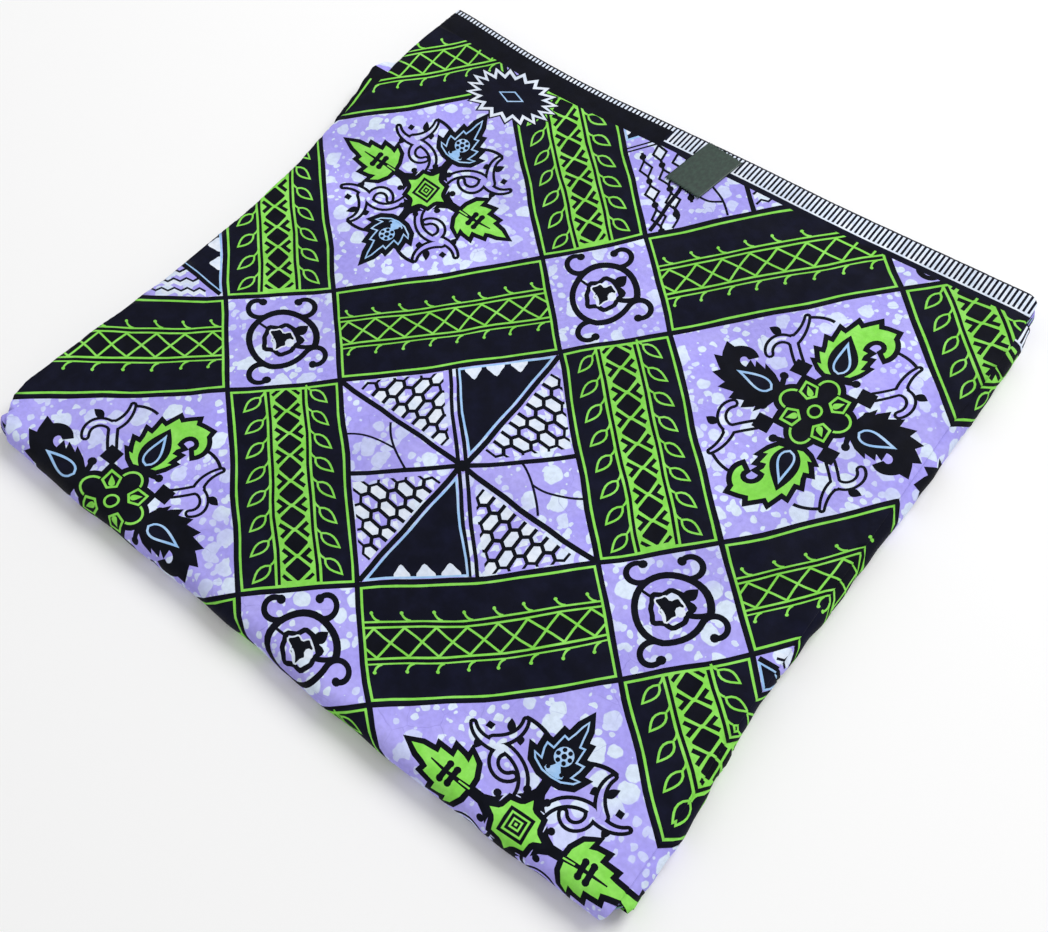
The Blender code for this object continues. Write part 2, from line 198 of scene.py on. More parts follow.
def crease_depth(x, y):
    """Soft troughs and ridges of the top, uneven along their length."""
    total = np.zeros_like(x)
    for k, (x0, y0, x1, y1, width, depth) in enumerate(CREASES):
        length = math.hypot(x1 - x0, y1 - y0)
        way = ((x1 - x0) / length, (y1 - y0) / length)
        s = ((x - x0) * way[0] + (y - y0) * way[1]) / length
        d = (x - x0) * way[1] - (y - y0) * way[0]
        d = d + 0.004 * np.sin(9.0 * s + 2.1 * k) + 0.0015 * np.sin(23.0 * s + k)
        ends = smooth(s / 0.12) * smooth((1.0 - s) / 0.12)
        uneven = 0.75 + 0.25 * np.sin(17.0 * s + 1.3 * k)
        total = total + depth * ends * uneven * np.exp(-(d / width) ** 2)
    return total


def roll_pucker(x, part):
    """Fine creases across the rolled fold: part is 0 where the roll begins and 1 where it ends below."""
    total = np.zeros_like(x)
    for k in range(PUCKERS):
        at = -0.29 + 0.59 * (k + 0.5 + 0.38 * math.sin(5.1 * k)) / PUCKERS
        width = 0.0035 + 0.0022 * (0.5 + 0.5 * math.sin(3.3 * k + 1.0))
        depth = 0.00038 * math.sin(2.7 * k + 0.4)
        reach = 0.35 + 0.25 * math.sin(1.9 * k)
        lean = 0.010 * math.sin(4.3 * k)
        d = x - at - lean * (part - 0.3)
        total = total + depth * np.exp(-(d / width) ** 2) * np.exp(-((part - 0.35) / reach) ** 2)
    return total


FLAT_LENGTH = SELVEDGE_Y - ROLL_CENTRE_Y
ROLL_LENGTH = math.pi * (ROLL_REACH + ROLL_HALF) / 2
OUTER_LENGTH = FLAT_LENGTH + ROLL_LENGTH + LOWER_END_Y - ROLL_CENTRE_Y
ROLL_WAVES = ((0.0009, 0.083, 0.4), (0.0006, 0.051, 2.0))


def outer_edges(t):
    """Left and right end of the outer panel at t metres from the selvedge."""
    turn = smooth((t - FLAT_LENGTH) / ROLL_LENGTH)
    y = np.maximum(SELVEDGE_Y - t, ROLL_Y)
    lower_y = np.clip(SELVEDGE_Y - FLAT_LENGTH + t - FLAT_LENGTH - ROLL_LENGTH, ROLL_Y, SELVEDGE_Y)
    lower_left = np.maximum(outer_left(lower_y) + LOWER_INSET, LOWER_LEFT_X)
    left = outer_left(y) * (1.0 - turn) + lower_left * turn
    return left, outer_right(y) * (1.0 - turn) + LOWER_RIGHT_X * turn


SIDE_LIP, SELVEDGE_LIP = 0.0012, 0.0006
CREASES_END = 0.03


def outer_surface(x, t):
    """Outer panel: x across, t metres from the selvedge over the top, round the roll and underneath."""
    angle = np.clip((t - FLAT_LENGTH) / ROLL_LENGTH, 0.0, 1.0) * math.pi
    under = np.maximum(t - FLAT_LENGTH - ROLL_LENGTH, 0.0)
    flat = np.minimum(t, FLAT_LENGTH)
    y = SELVEDGE_Y - flat - ROLL_REACH * np.sin(angle) + under
    z = ROLL_HALF * (1.0 + np.cos(angle))
    top = 0.5 * (1.0 + np.cos(angle))
    y_top = SELVEDGE_Y - flat
    fall = drop(x, y_top) + crease_depth(x, y_top) * smooth((FLAT_LENGTH - t) / CREASES_END)
    z = z - fall * top
    left, right = outer_edges(t)
    edge = lip(right - x, SIDE_LIP) + lip(x - left, SIDE_LIP) + lip(t, SELVEDGE_LIP)
    part = (t - FLAT_LENGTH) / ROLL_LENGTH
    inward = edge + roll_pucker(x, part) * smooth(1.0 - np.abs(part - 0.4) / 1.1)
    for height, length, phase in ROLL_WAVES:
        inward = inward + height * (0.5 + 0.5 * np.sin(math.tau * x / length + phase)) * np.sin(angle)
    y = y + inward * np.sin(angle)
    z = z - inward * np.cos(angle)
    return settled(np.stack((x, y, np.maximum(z, 0.0)), axis=-1))


SECOND_PUCKERS = ((0.00035, 95.0, 1.0), (0.0003, 211.0, 2.0))


def second_surface(x, y):
    """Second panel: x is the flat distance, which runs on down the roll."""
    centre = along(SECOND_RIGHT_Y, SECOND_RIGHT_X, y) - SECOND_REACH
    over = np.maximum(x - centre, 0.0)
    turn = over / ((SECOND_REACH + SECOND_HALF) / 2)
    angle = math.pi / 2 - turn
    px = np.minimum(x, centre) + SECOND_REACH * np.cos(angle)
    fall = drop(px, y) * 0.5 * (1.0 + np.sin(angle))
    pz = SECOND_MIDDLE_Z + SECOND_HALF * np.sin(angle) - fall
    pucker = sum(height * np.sin(waves * y + start) for height, waves, start in SECOND_PUCKERS)
    inward = pucker * smooth(turn / 0.8) + lip(SECOND_SELVEDGE_Y - y, SELVEDGE_LIP)
    return settled(np.stack((px - inward * np.cos(angle), y, pz - inward * np.sin(angle)), axis=-1))


def surface_normals(surface, a, b, step=1e-4):
    u = surface(a + step, b) - surface(a - step, b)
    v = surface(a, b + step) - surface(a, b - step)
    n = np.cross(u, v)
    return n / np.maximum(np.linalg.norm(n, axis=-1, keepdims=True), 1e-12)


# Drawing of the print: each shape is a colour and a closed line of points, later ones lie on top
CROSS = (0, 90, 180, 270)
DIAGONALS = (45, 135, 225, 315)


def turned(points, degrees=0.0, at=(0.0, 0.0), flip=False):
    p = np.array(points, float)
    if flip:
        p = p * (-1.0, 1.0)
    a = math.radians(degrees)
    turn = np.array(((math.cos(a), math.sin(a)), (-math.sin(a), math.cos(a))))
    return p @ turn + at


def rect(x0, y0, x1, y1):
    return np.array(((x0, y0), (x1, y0), (x1, y1), (x0, y1)), float)


def diamond(half, x, y):
    """Square that stands on a corner; half is half the length of its sides."""
    return turned(rect(-half, -half, half, half), 45, (x, y))


def oval(cx, cy, rx, ry=None, count=16):
    a = np.linspace(0.0, math.tau, count, endpoint=False)
    return np.stack((cx + rx * np.cos(a), cy + (ry or rx) * np.sin(a)), axis=-1)


def wavy(radius, waves, count=36):
    """Round outline of uneven radius: each wave has a height, its number round the outline and its start."""
    a = math.tau * np.arange(count) / count
    r = radius + sum(height * np.sin(number * a + start) for height, number, start in waves)
    return np.stack((r * np.cos(a), r * np.sin(a)), axis=-1)


def area(p):
    x, y = p[:, 0], p[:, 1]
    return 0.5 * float(np.sum(x * np.roll(y, -1) - np.roll(x, -1) * y))


def unit(vectors):
    return vectors / np.maximum(np.linalg.norm(vectors, axis=-1, keepdims=True), 1e-9)


def grown(points, distance):
    """The same outline moved outwards by a distance, or inwards if it is negative."""
    p = np.array(points, float)
    if area(p) < 0:
        p = p[::-1]
    edges = (p - np.roll(p, 1, axis=0), np.roll(p, -1, axis=0) - p)
    before, after = (unit(np.stack((edge[:, 1], -edge[:, 0]), -1)) for edge in edges)
    middle = unit(before + after)
    return p + middle * distance / np.maximum(np.sum(middle * before, axis=1, keepdims=True), 0.55)


def curve(points, count):
    """Smooth line through the given points."""
    p = np.array(points, float)
    p = np.vstack((2 * p[0] - p[1], p, 2 * p[-1] - p[-2]))
    out = []
    for value in np.linspace(0.0, len(p) - 3 - 1e-9, count):
        k = int(value)
        f = value - k
        a, b, c, d = p[k:k + 4]
        out.append(0.5 * (2 * b + (c - a) * f + (2 * a - 5 * b + 4 * c - d) * f * f
                          + (3 * b - a - 3 * c + d) * f ** 3))
    return np.array(out)


def band(points, half_width, half_end=None):
    """Closed outline of a line that has a width."""
    p = np.array(points, float)
    way = unit(np.gradient(p, axis=0))
    side = np.stack((way[:, 1], -way[:, 0]), -1)
    width = np.linspace(half_width, half_width if half_end is None else half_end, len(p))[:, None]
    return np.vstack((p + side * width, (p - side * width)[::-1]))


def lens(length, half):
    """Outline from (0, 0) to (length, 0), with the same half widths on both sides."""
    upper = np.stack((np.linspace(0.0, length, len(half)), half), -1)
    return np.vstack((upper, (upper * (1.0, -1.0))[1:-1][::-1]))


def almond(length, width, count=7):
    """Pointed oval from (0, 0) to (length, 0)."""
    return lens(length, width / 2 * np.sin(math.pi * np.linspace(0.0, 1.0, count) ** 0.8))


def teardrop(length, width, count=11):
    """Drop with its round end at (0, 0) and its tip at (length, 0)."""
    s = np.linspace(0.0, 1.0, count)
    return lens(length, width / 2 * np.sin(math.pi * s ** 0.62) * (1.0 - 0.25 * s))


def sweep(start, degrees, length, bend, power=1.0, count=14):
    """Curved line from a point and heading that turns by bend degrees, more to its end if power is over 1."""
    s = (np.arange(count - 1) + 0.5) / (count - 1)
    heading = np.radians(degrees + bend * s ** power)
    steps = np.stack((np.cos(heading), np.sin(heading)), -1) * length / (count - 1)
    return np.vstack((start, np.asarray(start, float) + np.cumsum(steps, axis=0)))


def toothed(length, width, teeth, bite):
    """Leaf from (0, 0) to (length, 0), its teeth pointing forwards on both sides."""
    side = []
    for k in range(teeth):
        for part, reach, lean in ((0.10, 1.0 - bite, 0.0), (0.55, 1.0 - 0.5 * bite, 0.0), (0.90, 1.0, 0.06)):
            s = (k + part) / teeth
            half = width / 2 * 1.22 * math.sin(math.pi * (0.05 + 0.87 * s ** 0.55)) * (1.0 - 0.45 * s)
            side.append((length * (0.80 * s + lean), half * reach))
    upper = [(0.0, 0.0)] + side + [(length, 0.0)]
    return np.array(upper + [(x, -y) for x, y in side][::-1])


# Plume: its middle line, and for each side its direction, number of teeth and where the last one ends
PLUME_LENGTH, PLUME_WIDTH, PLUME_TIP = 0.90, 0.138, 0.032
PLUME_HEADING, PLUME_BEND, PLUME_POWER = -17.0, 238.0, 2.5
PLUME_SIDES = ((1.0, 7, 0.78), (-1.0, 3, 0.42))
PLUME_LEAN = -13.0
NAVY_PLUME = 0.86


def plume(bite):
    """Paisley from (0, 0) along x: a toothed body that narrows and curls over to the +y side."""
    count = 61
    line = sweep((0.0, 0.0), PLUME_HEADING, PLUME_LENGTH, PLUME_BEND, PLUME_POWER, count)
    steps = np.linspace(0.0, 1.0, count)

    def place(s, side, reach, lean):
        heading = math.radians(PLUME_HEADING + PLUME_BEND * s ** PLUME_POWER)
        half = PLUME_WIDTH * 1.55 * (1.0 - s) ** 1.60 * min(1.0, s / 0.20) ** 0.5 + PLUME_TIP + reach
        x, y = (np.interp(s, steps, line[:, k]) for k in (0, 1))
        return (x + math.cos(heading) * lean + side * math.sin(heading) * half,
                y + math.sin(heading) * lean - side * math.cos(heading) * half)

    sides = []
    for side, teeth, last in PLUME_SIDES:
        points = []
        for k in range(teeth):
            for part, share, lean in ((0.05, 0.0, 0.0), (0.50, 0.35, 0.0), (0.85, 1.0, 0.5)):
                s = 0.02 + (last - 0.02) * (k + part) / teeth
                points.append(place(s, side, share * bite, lean * bite))
        points += [place(s, side, 0.0, 0.0) for s in np.linspace(last + 0.02, 1.0, 12)]
        sides.append(points)
    return np.array(sides[0] + sides[1][::-1])


class Sheet:
    """The print's shapes, in lattice units."""

    def __init__(self, *rows):
        self.shapes = []
        self.add(*rows)

    def put(self, color, points, degrees=0.0, at=(0.0, 0.0), flip=False):
        self.shapes.append((color, turned(points, degrees, at, flip)))

    def add(self, *rows):
        """Some shapes as they are; a row is a colour and an outline."""
        self.around((0,), *rows)

    def around(self, directions, *rows):
        """The same shapes in each direction."""
        for degrees in directions:
            for color, points in rows:
                self.put(color, points, degrees)

    def curl(self, color, line, half, half_end, ball, count=10):
        """Tapered line that ends in a ball."""
        self.add((color, band(line, half, half_end)), (color, oval(*line[-1], ball, count=count)))

    def copy_in(self, other, degrees=0.0, out=0.0, flip=False):
        """Another sheet's shapes, turned, and moved out from the middle the way they then point."""
        at = turned([(out, 0.0)], degrees)[0]
        for color, points in other.shapes:
            self.put(color, points, degrees, at, flip)


# Ring square's corner curls: start, heading and bend
CURLS = (((-0.150, -0.262), 170, 232), ((0.185, -0.238), 8, -236), ((-0.175, 0.245), 186, -232))


def ring_square():
    """Small square: thick open ring that ends in a curl, three corner curls and a wavy bud."""
    s = Sheet((LAVENDER, rect(-0.478, -0.478, 0.478, 0.478)))
    a = np.radians(np.arange(24, -256, -10))
    ring = 0.300 * np.stack((np.cos(a), np.sin(a)), -1)
    tail = sweep(ring[-1], 14, 0.36, -66, 1.0, 9)
    end_curl = sweep(tail[-1], -46, 0.42, 250, 1.15, 18)
    s.curl(INK, np.vstack((ring, tail[1:], end_curl[1:])), 0.032, 0.024, 0.038)
    for at, degrees, bend in CURLS:
        s.curl(INK, sweep(at, degrees, 0.40, bend, 1.20, 20), 0.027, 0.024, 0.040)
    bud = wavy(0.182, ((0.014, 5, 0.6), (0.010, 8, 0.0))) * (1.0, 0.96) - (0.010, 0.0)
    heart = wavy(0.106, ((0.022, 3, 2.0), (0.012, 7, 0.0))) - (0.015, 0.012)
    s.add((INK, bud),
          (INK, turned(almond(0.150, 0.110), -32, (0.110, -0.050))),
          (INK, band(sweep((0.120, 0.090), 24, 0.160, -34), 0.024)),
          (INK, band(sweep((-0.120, -0.110), -138, 0.150, 8), 0.013)),
          (LAVENDER, grown(bud, -0.044)),
          (INK, band(sweep((0.085, -0.115), 62, 0.220, 30), 0.013)),
          (WHITE, heart),
          (INK, grown(heart, -0.014)),
          (WHITE, oval(0.060, 0.045, 0.040, 0.048, 9)),
          (WHITE, band(sweep((-0.085, -0.010), 60, 0.110, 50), 0.010)))
    return s


def clipped(points, corners):
    """The part of a convex outline that lies inside a triangle given anticlockwise."""
    points = list(np.asarray(points, float))
    for k in range(3):
        a = corners[k]
        edge = corners[(k + 1) % 3] - a
        kept = []
        for j, p in enumerate(points):
            q = points[(j + 1) % len(points)]
            here, there = (edge[0] * (r - a)[1] - edge[1] * (r - a)[0] for r in (p, q))
            if here >= 0:
                kept.append(p)
            if here * there < 0:
                kept.append(p + (q - p) * here / (here - there))
        points = kept
        if len(points) < 3:
            return None
    return np.array(points)


# Both strips, in lattice units: their border line, and how many lozenges or crosses lie along them
LINE_HALF, FRAME = 0.022, 0.043
CELLS = 8
# Upright strip: lime band with two dark lines, lozenges with cut corners and chevrons, a leaf on each side
BAND_LEFT, BAND_RIGHT = 0.311, 0.700
BAND_MIDDLE = (BAND_LEFT + BAND_RIGHT) / 2
BAND_LINE, BAND_LINE_INSET, BAND_END_GAP = 0.027, 0.022, 0.004
BAND_CELL, BAND_START = 0.240, 0.024
LOZENGE_HALF, LOZENGE_CUT, CHEVRON_SLOPE = 0.110, 0.008, 0.85
LEAF_OUT, STALK_OUT, STALK_DROP = 0.222, 0.186, 0.056
STRIP_LEAVES = ((-1, 139, 0.046), (1, 48, 0.084))
# Lying strip: two double rails, crosses between them, and hooks that end in balls
CELL, CELL_START = 0.25, -0.005
RAIL_LOW, RAIL_HIGH = 0.320, 0.676
RAIL_LINES, RAIL_LINE = (0.336, 0.634), 0.028
CROSS_LOW, CROSS_HIGH, CROSS_HALF, CROSS_OVER = 0.381, 0.615, 0.0095, 0.012
HOOKS = ((-1, 0.1735, 0.324), (1, 0.154, 0.672))


def strip_ground(wide, tall):
    """Dark strip with a thin lime line inside its border."""
    return Sheet((NAVY, rect(0.0, 0.0, wide, tall)),
                 (LIME, rect(LINE_HALF, LINE_HALF, wide - LINE_HALF, tall - LINE_HALF)),
                 (NAVY, rect(FRAME, FRAME, wide - FRAME, tall - FRAME)))


def vertical_strip():
    """Upright strip, 1 wide and 2 long: lime band of black lozenges between two rows of leaves."""
    s = strip_ground(1.0, 2.0)
    s.put(LIME, rect(BAND_LEFT, LINE_HALF, BAND_RIGHT, 2.0 - LINE_HALF))
    end = FRAME + BAND_END_GAP
    for x in (BAND_LEFT + BAND_LINE_INSET, BAND_RIGHT - BAND_LINE_INSET - BAND_LINE):
        s.put(INK, rect(x, end, x + BAND_LINE, 2.0 - end))
    bar = np.array(((0.020, -0.001), (0.108, 0.100 * CHEVRON_SLOPE - 0.007), (0.131, 0.047), (0.078, -0.001)))
    for k in range(CELLS + 1):
        for side in (-1, 1):
            for way in (-1, 1):
                if (k, way) not in ((0, -1), (CELLS, 1)):
                    half = bar if 0 < k < CELLS else bar * 0.80 + (0.030, 0.020)
                    s.put(INK, half * (side, way), at=(BAND_MIDDLE, BAND_START + BAND_CELL * k))
    corner = LOZENGE_HALF - LOZENGE_CUT
    quarter = ((LOZENGE_CUT, -corner), (corner, -LOZENGE_CUT))
    lozenge = np.vstack([turned(quarter, degrees) for degrees in CROSS])
    for k in range(CELLS):
        y = BAND_START + BAND_CELL * (k + 0.5)
        s.put(INK, lozenge, at=(BAND_MIDDLE, y))
        for side, degrees, below in STRIP_LEAVES:
            leaf = turned(almond(0.222, 0.102), degrees, (BAND_MIDDLE + side * LEAF_OUT, y - below))
            stalk_start = (BAND_MIDDLE + side * STALK_OUT, y - below - STALK_DROP)
            stalk = sweep(stalk_start, 90 - side * 14, 0.066, -side * 40, 1.0, 5)
            s.put(LIME, grown(leaf, 0.003))
            s.put(NAVY, grown(leaf, -0.015))
            s.put(LIME, band(stalk, 0.009))
    return s


def horizontal_strip():
    """Lying strip, 2 long and 1 wide: lime crosses between double lines, with hooks outside."""
    s = strip_ground(2.0, 1.0)
    s.put(LIME, rect(LINE_HALF, RAIL_LOW, 2.0 - LINE_HALF, RAIL_HIGH))
    for y in RAIL_LINES:
        s.put(INK, rect(FRAME, y, 2.0 - FRAME, y + RAIL_LINE))
    s.put(INK, rect(FRAME, CROSS_LOW, 2.0 - FRAME, CROSS_HIGH))
    for k in range(CELLS + 1):
        middle = CELL_START + CELL * k
        first = FRAME - CROSS_OVER
        ends = np.array((max(middle - CELL / 2, first), min(middle + CELL / 2, 2.0 - first)))
        rise = (ends - middle) / CELL * (CROSS_HIGH - CROSS_LOW)
        for way in (-1, 1):
            s.put(LIME, band(np.stack((ends, (CROSS_LOW + CROSS_HIGH) / 2 + way * rise), -1), CROSS_HALF))
    for k in range(CELLS):
        for side, x, edge in HOOKS:
            hook = sweep((x + CELL * k, edge), 180 - side * 12, 0.100, -side * 68, 1.0, 7)
            s.curl(LIME, hook, 0.010, 0.008, 0.0155, 8)
    return s


TILE_HALF = 0.976


def tile_ground():
    return Sheet((LAVENDER, rect(-TILE_HALF, -TILE_HALF, TILE_HALF, TILE_HALF)))


# Nets of the wheel tile: a cell's half width and heights, its wall, the part shown, and the nets' triangles
NET_HALF, NET_SHOULDER, NET_TIP = 0.0585, 0.062, 0.104
NET_WALL, NET_INSET = 1.10, 0.0175
NET_SHOWN = 0.52
NETS = ((((-0.075, -0.140), (-0.880, -0.965), (-0.075, -0.965)), 45, (0.0, 0.0)),
        (((0.965, -0.880), (0.965, -0.048), (0.120, -0.048)), -45, (0.010, 0.004)))


def net(corners, degrees, shift):
    """Net of long six-sided cells inside a triangle; a cell is drawn if enough of it lies inside."""
    s = Sheet()
    half_outline = [(0.0, -NET_TIP), (NET_HALF, -NET_SHOULDER), (NET_HALF, NET_SHOULDER)]
    cell = np.array(half_outline + [(-x, -y) for x, y in half_outline])
    for i in range(-8, 9):
        for j in range(-6, 7):
            place = ((2 * i + j % 2) * NET_HALF, j * (NET_TIP + NET_SHOULDER))
            at = turned([place], degrees)[0] + corners.mean(axis=0) + shift
            wall = turned(cell * NET_WALL, degrees, at)
            shown = clipped(wall, corners)
            if shown is None or area(shown) < NET_SHOWN * area(wall):
                continue
            rows = [(INK, wall), (WHITE, grown(turned(cell, degrees, at), -NET_INSET))]
            if (i + j) % 2:
                rows[1] = (LAVENDER, rows[1][1])
                rows.append((WHITE, turned(cell[1:5] * (0.50, 0.58), degrees, at)))
            for color, outline in rows:
                outline = clipped(outline, corners)
                if outline is not None:
                    s.put(color, outline)
    return s


# White caps of the dark wedge: place along its base and size
CAPS = ((0.208, 1.0), (0.410, 1.0), (0.614, 0.92))


def dark_wedge():
    """Dark triangle with a pale edge and white caps along its base, pointing to the tile's middle."""
    a = np.linspace(0.0, math.pi, 13)
    cap = np.stack((-0.080 * np.cos(a), 0.055 * np.sin(a) ** 0.7 + 0.055 * np.sin(a) ** 8), -1)
    return Sheet((SKY, ((0.066, -0.972), (0.950, -0.972), (0.060, -0.082))),
                 (NAVY, ((0.086, -0.952), (0.902, -0.952), (0.080, -0.131))),
                 *((WHITE, cap * size + (x, -0.955)) for x, size in CAPS))


def wheel_tile():
    """Big tile cut in eight triangles: nets of cells, dark wedges and plain crackled ones."""
    s = tile_ground()
    for degrees in (0, 180):
        for corners, lean, shift in NETS:
            s.copy_in(net(turned(corners, degrees), lean + degrees, shift))
        s.around((degrees,), (NAVY, band(sweep((-0.985, -0.430), 4, 0.46, 42), 0.010)),
                 (NAVY, band(sweep((-0.585, -0.520), 98, 0.50, -34), 0.011)))
    for color, half in ((INK, 0.050), (LAVENDER, 0.015)):
        s.put(color, band(((0.028, -TILE_HALF), (-0.028, TILE_HALF)), half))
    for degrees in (0, 180):
        s.copy_in(dark_wedge(), degrees)
        s.put(INK, band(((0.982, -0.964), (0.040, -0.022)), 0.024), degrees)
    s.add((INK, band(((-0.985, -0.034), (0.985, 0.034)), 0.022)),
          (INK, band(((-0.985, -0.985), (0.985, 0.985)), 0.025)), (INK, oval(0, 0, 0.054, count=12)))
    return s


def scroll_parts(s, parts, line):
    """Pale scroll made of tapered curved bands, with one dark line round them all."""
    for color, more in ((INK, line), (LAVENDER, 0.0)):
        for path, half, half_end in parts:
            s.put(color, band(path, half + more, half_end + more))
            s.put(color, oval(*path[0], half + more, count=12))
            if half_end + more > 0.01:
                s.put(color, oval(*path[-1], half_end + more, count=10))


# Zigzag lines and veins of the second wheel tile
ZIGZAGS, ZIGZAG_TOP, ZIGZAG_STEP = 7, 0.900, 0.105
VEINS = (((-0.75, 0.97), (-0.66, 0.86), (-0.70, 0.76)),
         ((-0.24, 0.97), (-0.26, 0.80), (-0.30, 0.66), (-0.34, 0.52)),
         ((-0.26, 0.82), (-0.38, 0.78), (-0.48, 0.68)))


def half_wheel():
    """Half of the second wheel tile: lozenge chains on the left, zigzag lines on the right, and veins."""
    s = Sheet()
    for column in range(4):
        x = -0.850 + 0.163 * column
        for k in range(4 - column):
            y = 0.300 + 0.272 * k - 0.136 * (column % 2)
            if x + y > 0.06 or y > 0.90:
                continue
            shape = np.array(((0.0, -0.092), (0.070, 0.0), (0.0, 0.092), (-0.070, 0.0))) + (x, y)
            s.put(INK, grown(shape, 0.008))
            s.put(WHITE if (k + column) % 2 else LAVENDER, grown(shape, -0.016))
            for dot_y in (y - 0.136, y + 0.136):
                s.put(INK, oval(x, dot_y, 0.034, count=10))
                s.put(INK, rect(x - 0.014, dot_y - 0.05, x + 0.014, dot_y + 0.05))
    for k in range(ZIGZAGS):
        y = ZIGZAG_TOP - ZIGZAG_STEP * k
        xs = np.arange(0.035, y - 0.03, 0.056)
        line = np.stack((xs, y + 0.017 * (-1.0) ** np.arange(len(xs))), -1)
        pale = line if k % 2 else line[len(line) // 2:]
        s.put(WHITE, np.vstack((pale, (pale + (0.0, 0.055))[::-1])))
        s.put(NAVY, band(line, 0.0115))
    for points in VEINS:
        s.put(NAVY, band(curve(points, 9), 0.011))
    for y in (0.012, 0.052):
        s.put(INK, rect(-TILE_HALF, y, -0.02, y + 0.018))
    return s


def other_wheel_tile():
    """Big tile in eight triangles, with lozenge chains, zigzag lines, dark wedges and crackled parts."""
    s = tile_ground()
    for degrees in (0, 180):
        s.copy_in(half_wheel(), degrees)
    for degrees in (-90, 90):
        s.copy_in(dark_wedge(), degrees)
    s.put(INK, rect(-0.026, -TILE_HALF, 0.020, TILE_HALF))
    s.around((0, 180), (INK, band(((-0.955, -0.955), (0.0, 0.0)), 0.022)),
             (INK, band(((-0.955, 0.955), (0.0, 0.0)), 0.020)))
    s.put(INK, oval(0, 0, 0.055, count=12))
    return s


# Thorns of the forked scroll: heading, place and length
SCROLL_THORNS = ((-80, (0.085, -0.690), 0.130), (98, (0.150, -0.670), 0.085), (136, (-0.140, -0.680), 0.110))


def forked_scroll():
    """Pale scroll with a dark line round it: stem, curl and forked head, with dots by its foot and head."""
    s = Sheet()
    stem = sweep((0.030, -0.180), -42, 0.47, -104)
    curl = sweep((-0.010, -0.565), 168, 0.33, -184, 1.0, 16)
    left = sweep((-0.010, -0.580), -158, 0.31, 72, 1.3)
    right = sweep((-0.060, -0.640), 4, 0.34, -76, 1.3)
    for degrees, at, size in SCROLL_THORNS:
        s.put(INK, almond(size, 0.070), degrees, at)
    parts = ((stem, 0.018, 0.022), (curl, 0.022, 0.016), (left, 0.030, 0.006), (right, 0.030, 0.006))
    scroll_parts(s, parts, 0.030)
    for x in (-0.088, 0.128):
        s.put(INK, oval(x, -0.255, 0.032, count=10))
    s.put(INK, diamond(0.028, -0.060, -0.775))
    return s


def y_scroll():
    """Pale Y-shaped scroll with a dark line round it: square foot, curl on the left, horn on the right."""
    s = Sheet()
    stem = sweep((0.0, -0.490), -92, 0.24, 10, 1.0, 5)
    left = sweep((0.004, -0.705), -128, 0.31, -146, 1.0, 16)
    right = sweep((0.004, -0.705), -24, 0.28, -50)
    s.put(INK, almond(0.115, 0.080), -138, (-0.066, -0.795))
    scroll_parts(s, ((stem, 0.022, 0.022), (left, 0.024, 0.017), (right, 0.029, 0.006)), 0.026)
    s.add((WHITE, band(left[3:9], 0.010)), (INK, band(sweep((0.195, -0.895), 8, 0.22, 40), 0.015)),
          (INK, diamond(0.070, 0.0, -0.430)))
    return s


# Leaf tile: its leaves and their berries, the star, the squares inside it and half an arm from it to a leaf
LEAF_LENGTH, LEAF_WIDTH, LEAF_START = 0.580, 0.440, 0.425
BERRIES, BERRY_MIDDLE, BERRY_RING = 6, 0.205, 0.054
STAR_TIPS, STAR_SIDE, STAR_NOTCH, STAR_LINE = (0.190, 0.226), 0.170, 0.160, 0.046
STAR_SQUARES = ((0.150, INK), (0.113, LIME), (0.090, INK), (0.058, LIME), (0.038, INK), (0.016, LIME))
HALF_ARM = ((0.195, 0.135), (0.245, 0.078), (0.310, 0.044), (0.460, 0.040))


def lime_leaf(leaf):
    """Lime leaf with a dark edge, midrib and two crossbars that end in dots."""
    s = Sheet((INK, grown(leaf, 0.040)), (LIME, grown(leaf, -0.006)),
              (INK, band(sweep((-0.030, 0.0), 0, 0.400, 0, 1.0, 4), 0.026, 0.006)),
              (LIME, rect(-0.010, -0.007, 0.090, 0.007)))
    for x, reach in ((0.150, 0.060), (0.222, 0.066)):
        s.add((INK, rect(x - 0.024, -reach, x + 0.024, reach)),
              *((INK, oval(x, side * reach, 0.030, count=10)) for side in (-1, 1)))
    return s


def dark_leaf(leaf):
    """Dark leaf with a sky line inside its edge, a small sky leaf and a round sky fruit with dark berries."""
    a = math.tau * (np.arange(BERRIES) + 0.5) / BERRIES
    berries = zip(BERRY_MIDDLE + BERRY_RING * np.cos(a), BERRY_RING * np.sin(a))
    return Sheet((INK, grown(leaf, 0.040)), (SKY, grown(leaf, -0.012)), (INK, grown(leaf, -0.027)),
                 (SKY, toothed(0.120, 0.170, 2, 0.2) + (0.030, 0.0)),
                 (SKY, oval(BERRY_MIDDLE, 0.0, 0.080, count=18)),
                 *((INK, oval(x, y, 0.020, count=7)) for x, y in berries),
                 (INK, oval(BERRY_MIDDLE, 0.0, 0.024, count=8)),
                 *((INK, oval(0.075, y, 0.018, count=7)) for y in (-0.060, 0.060)))


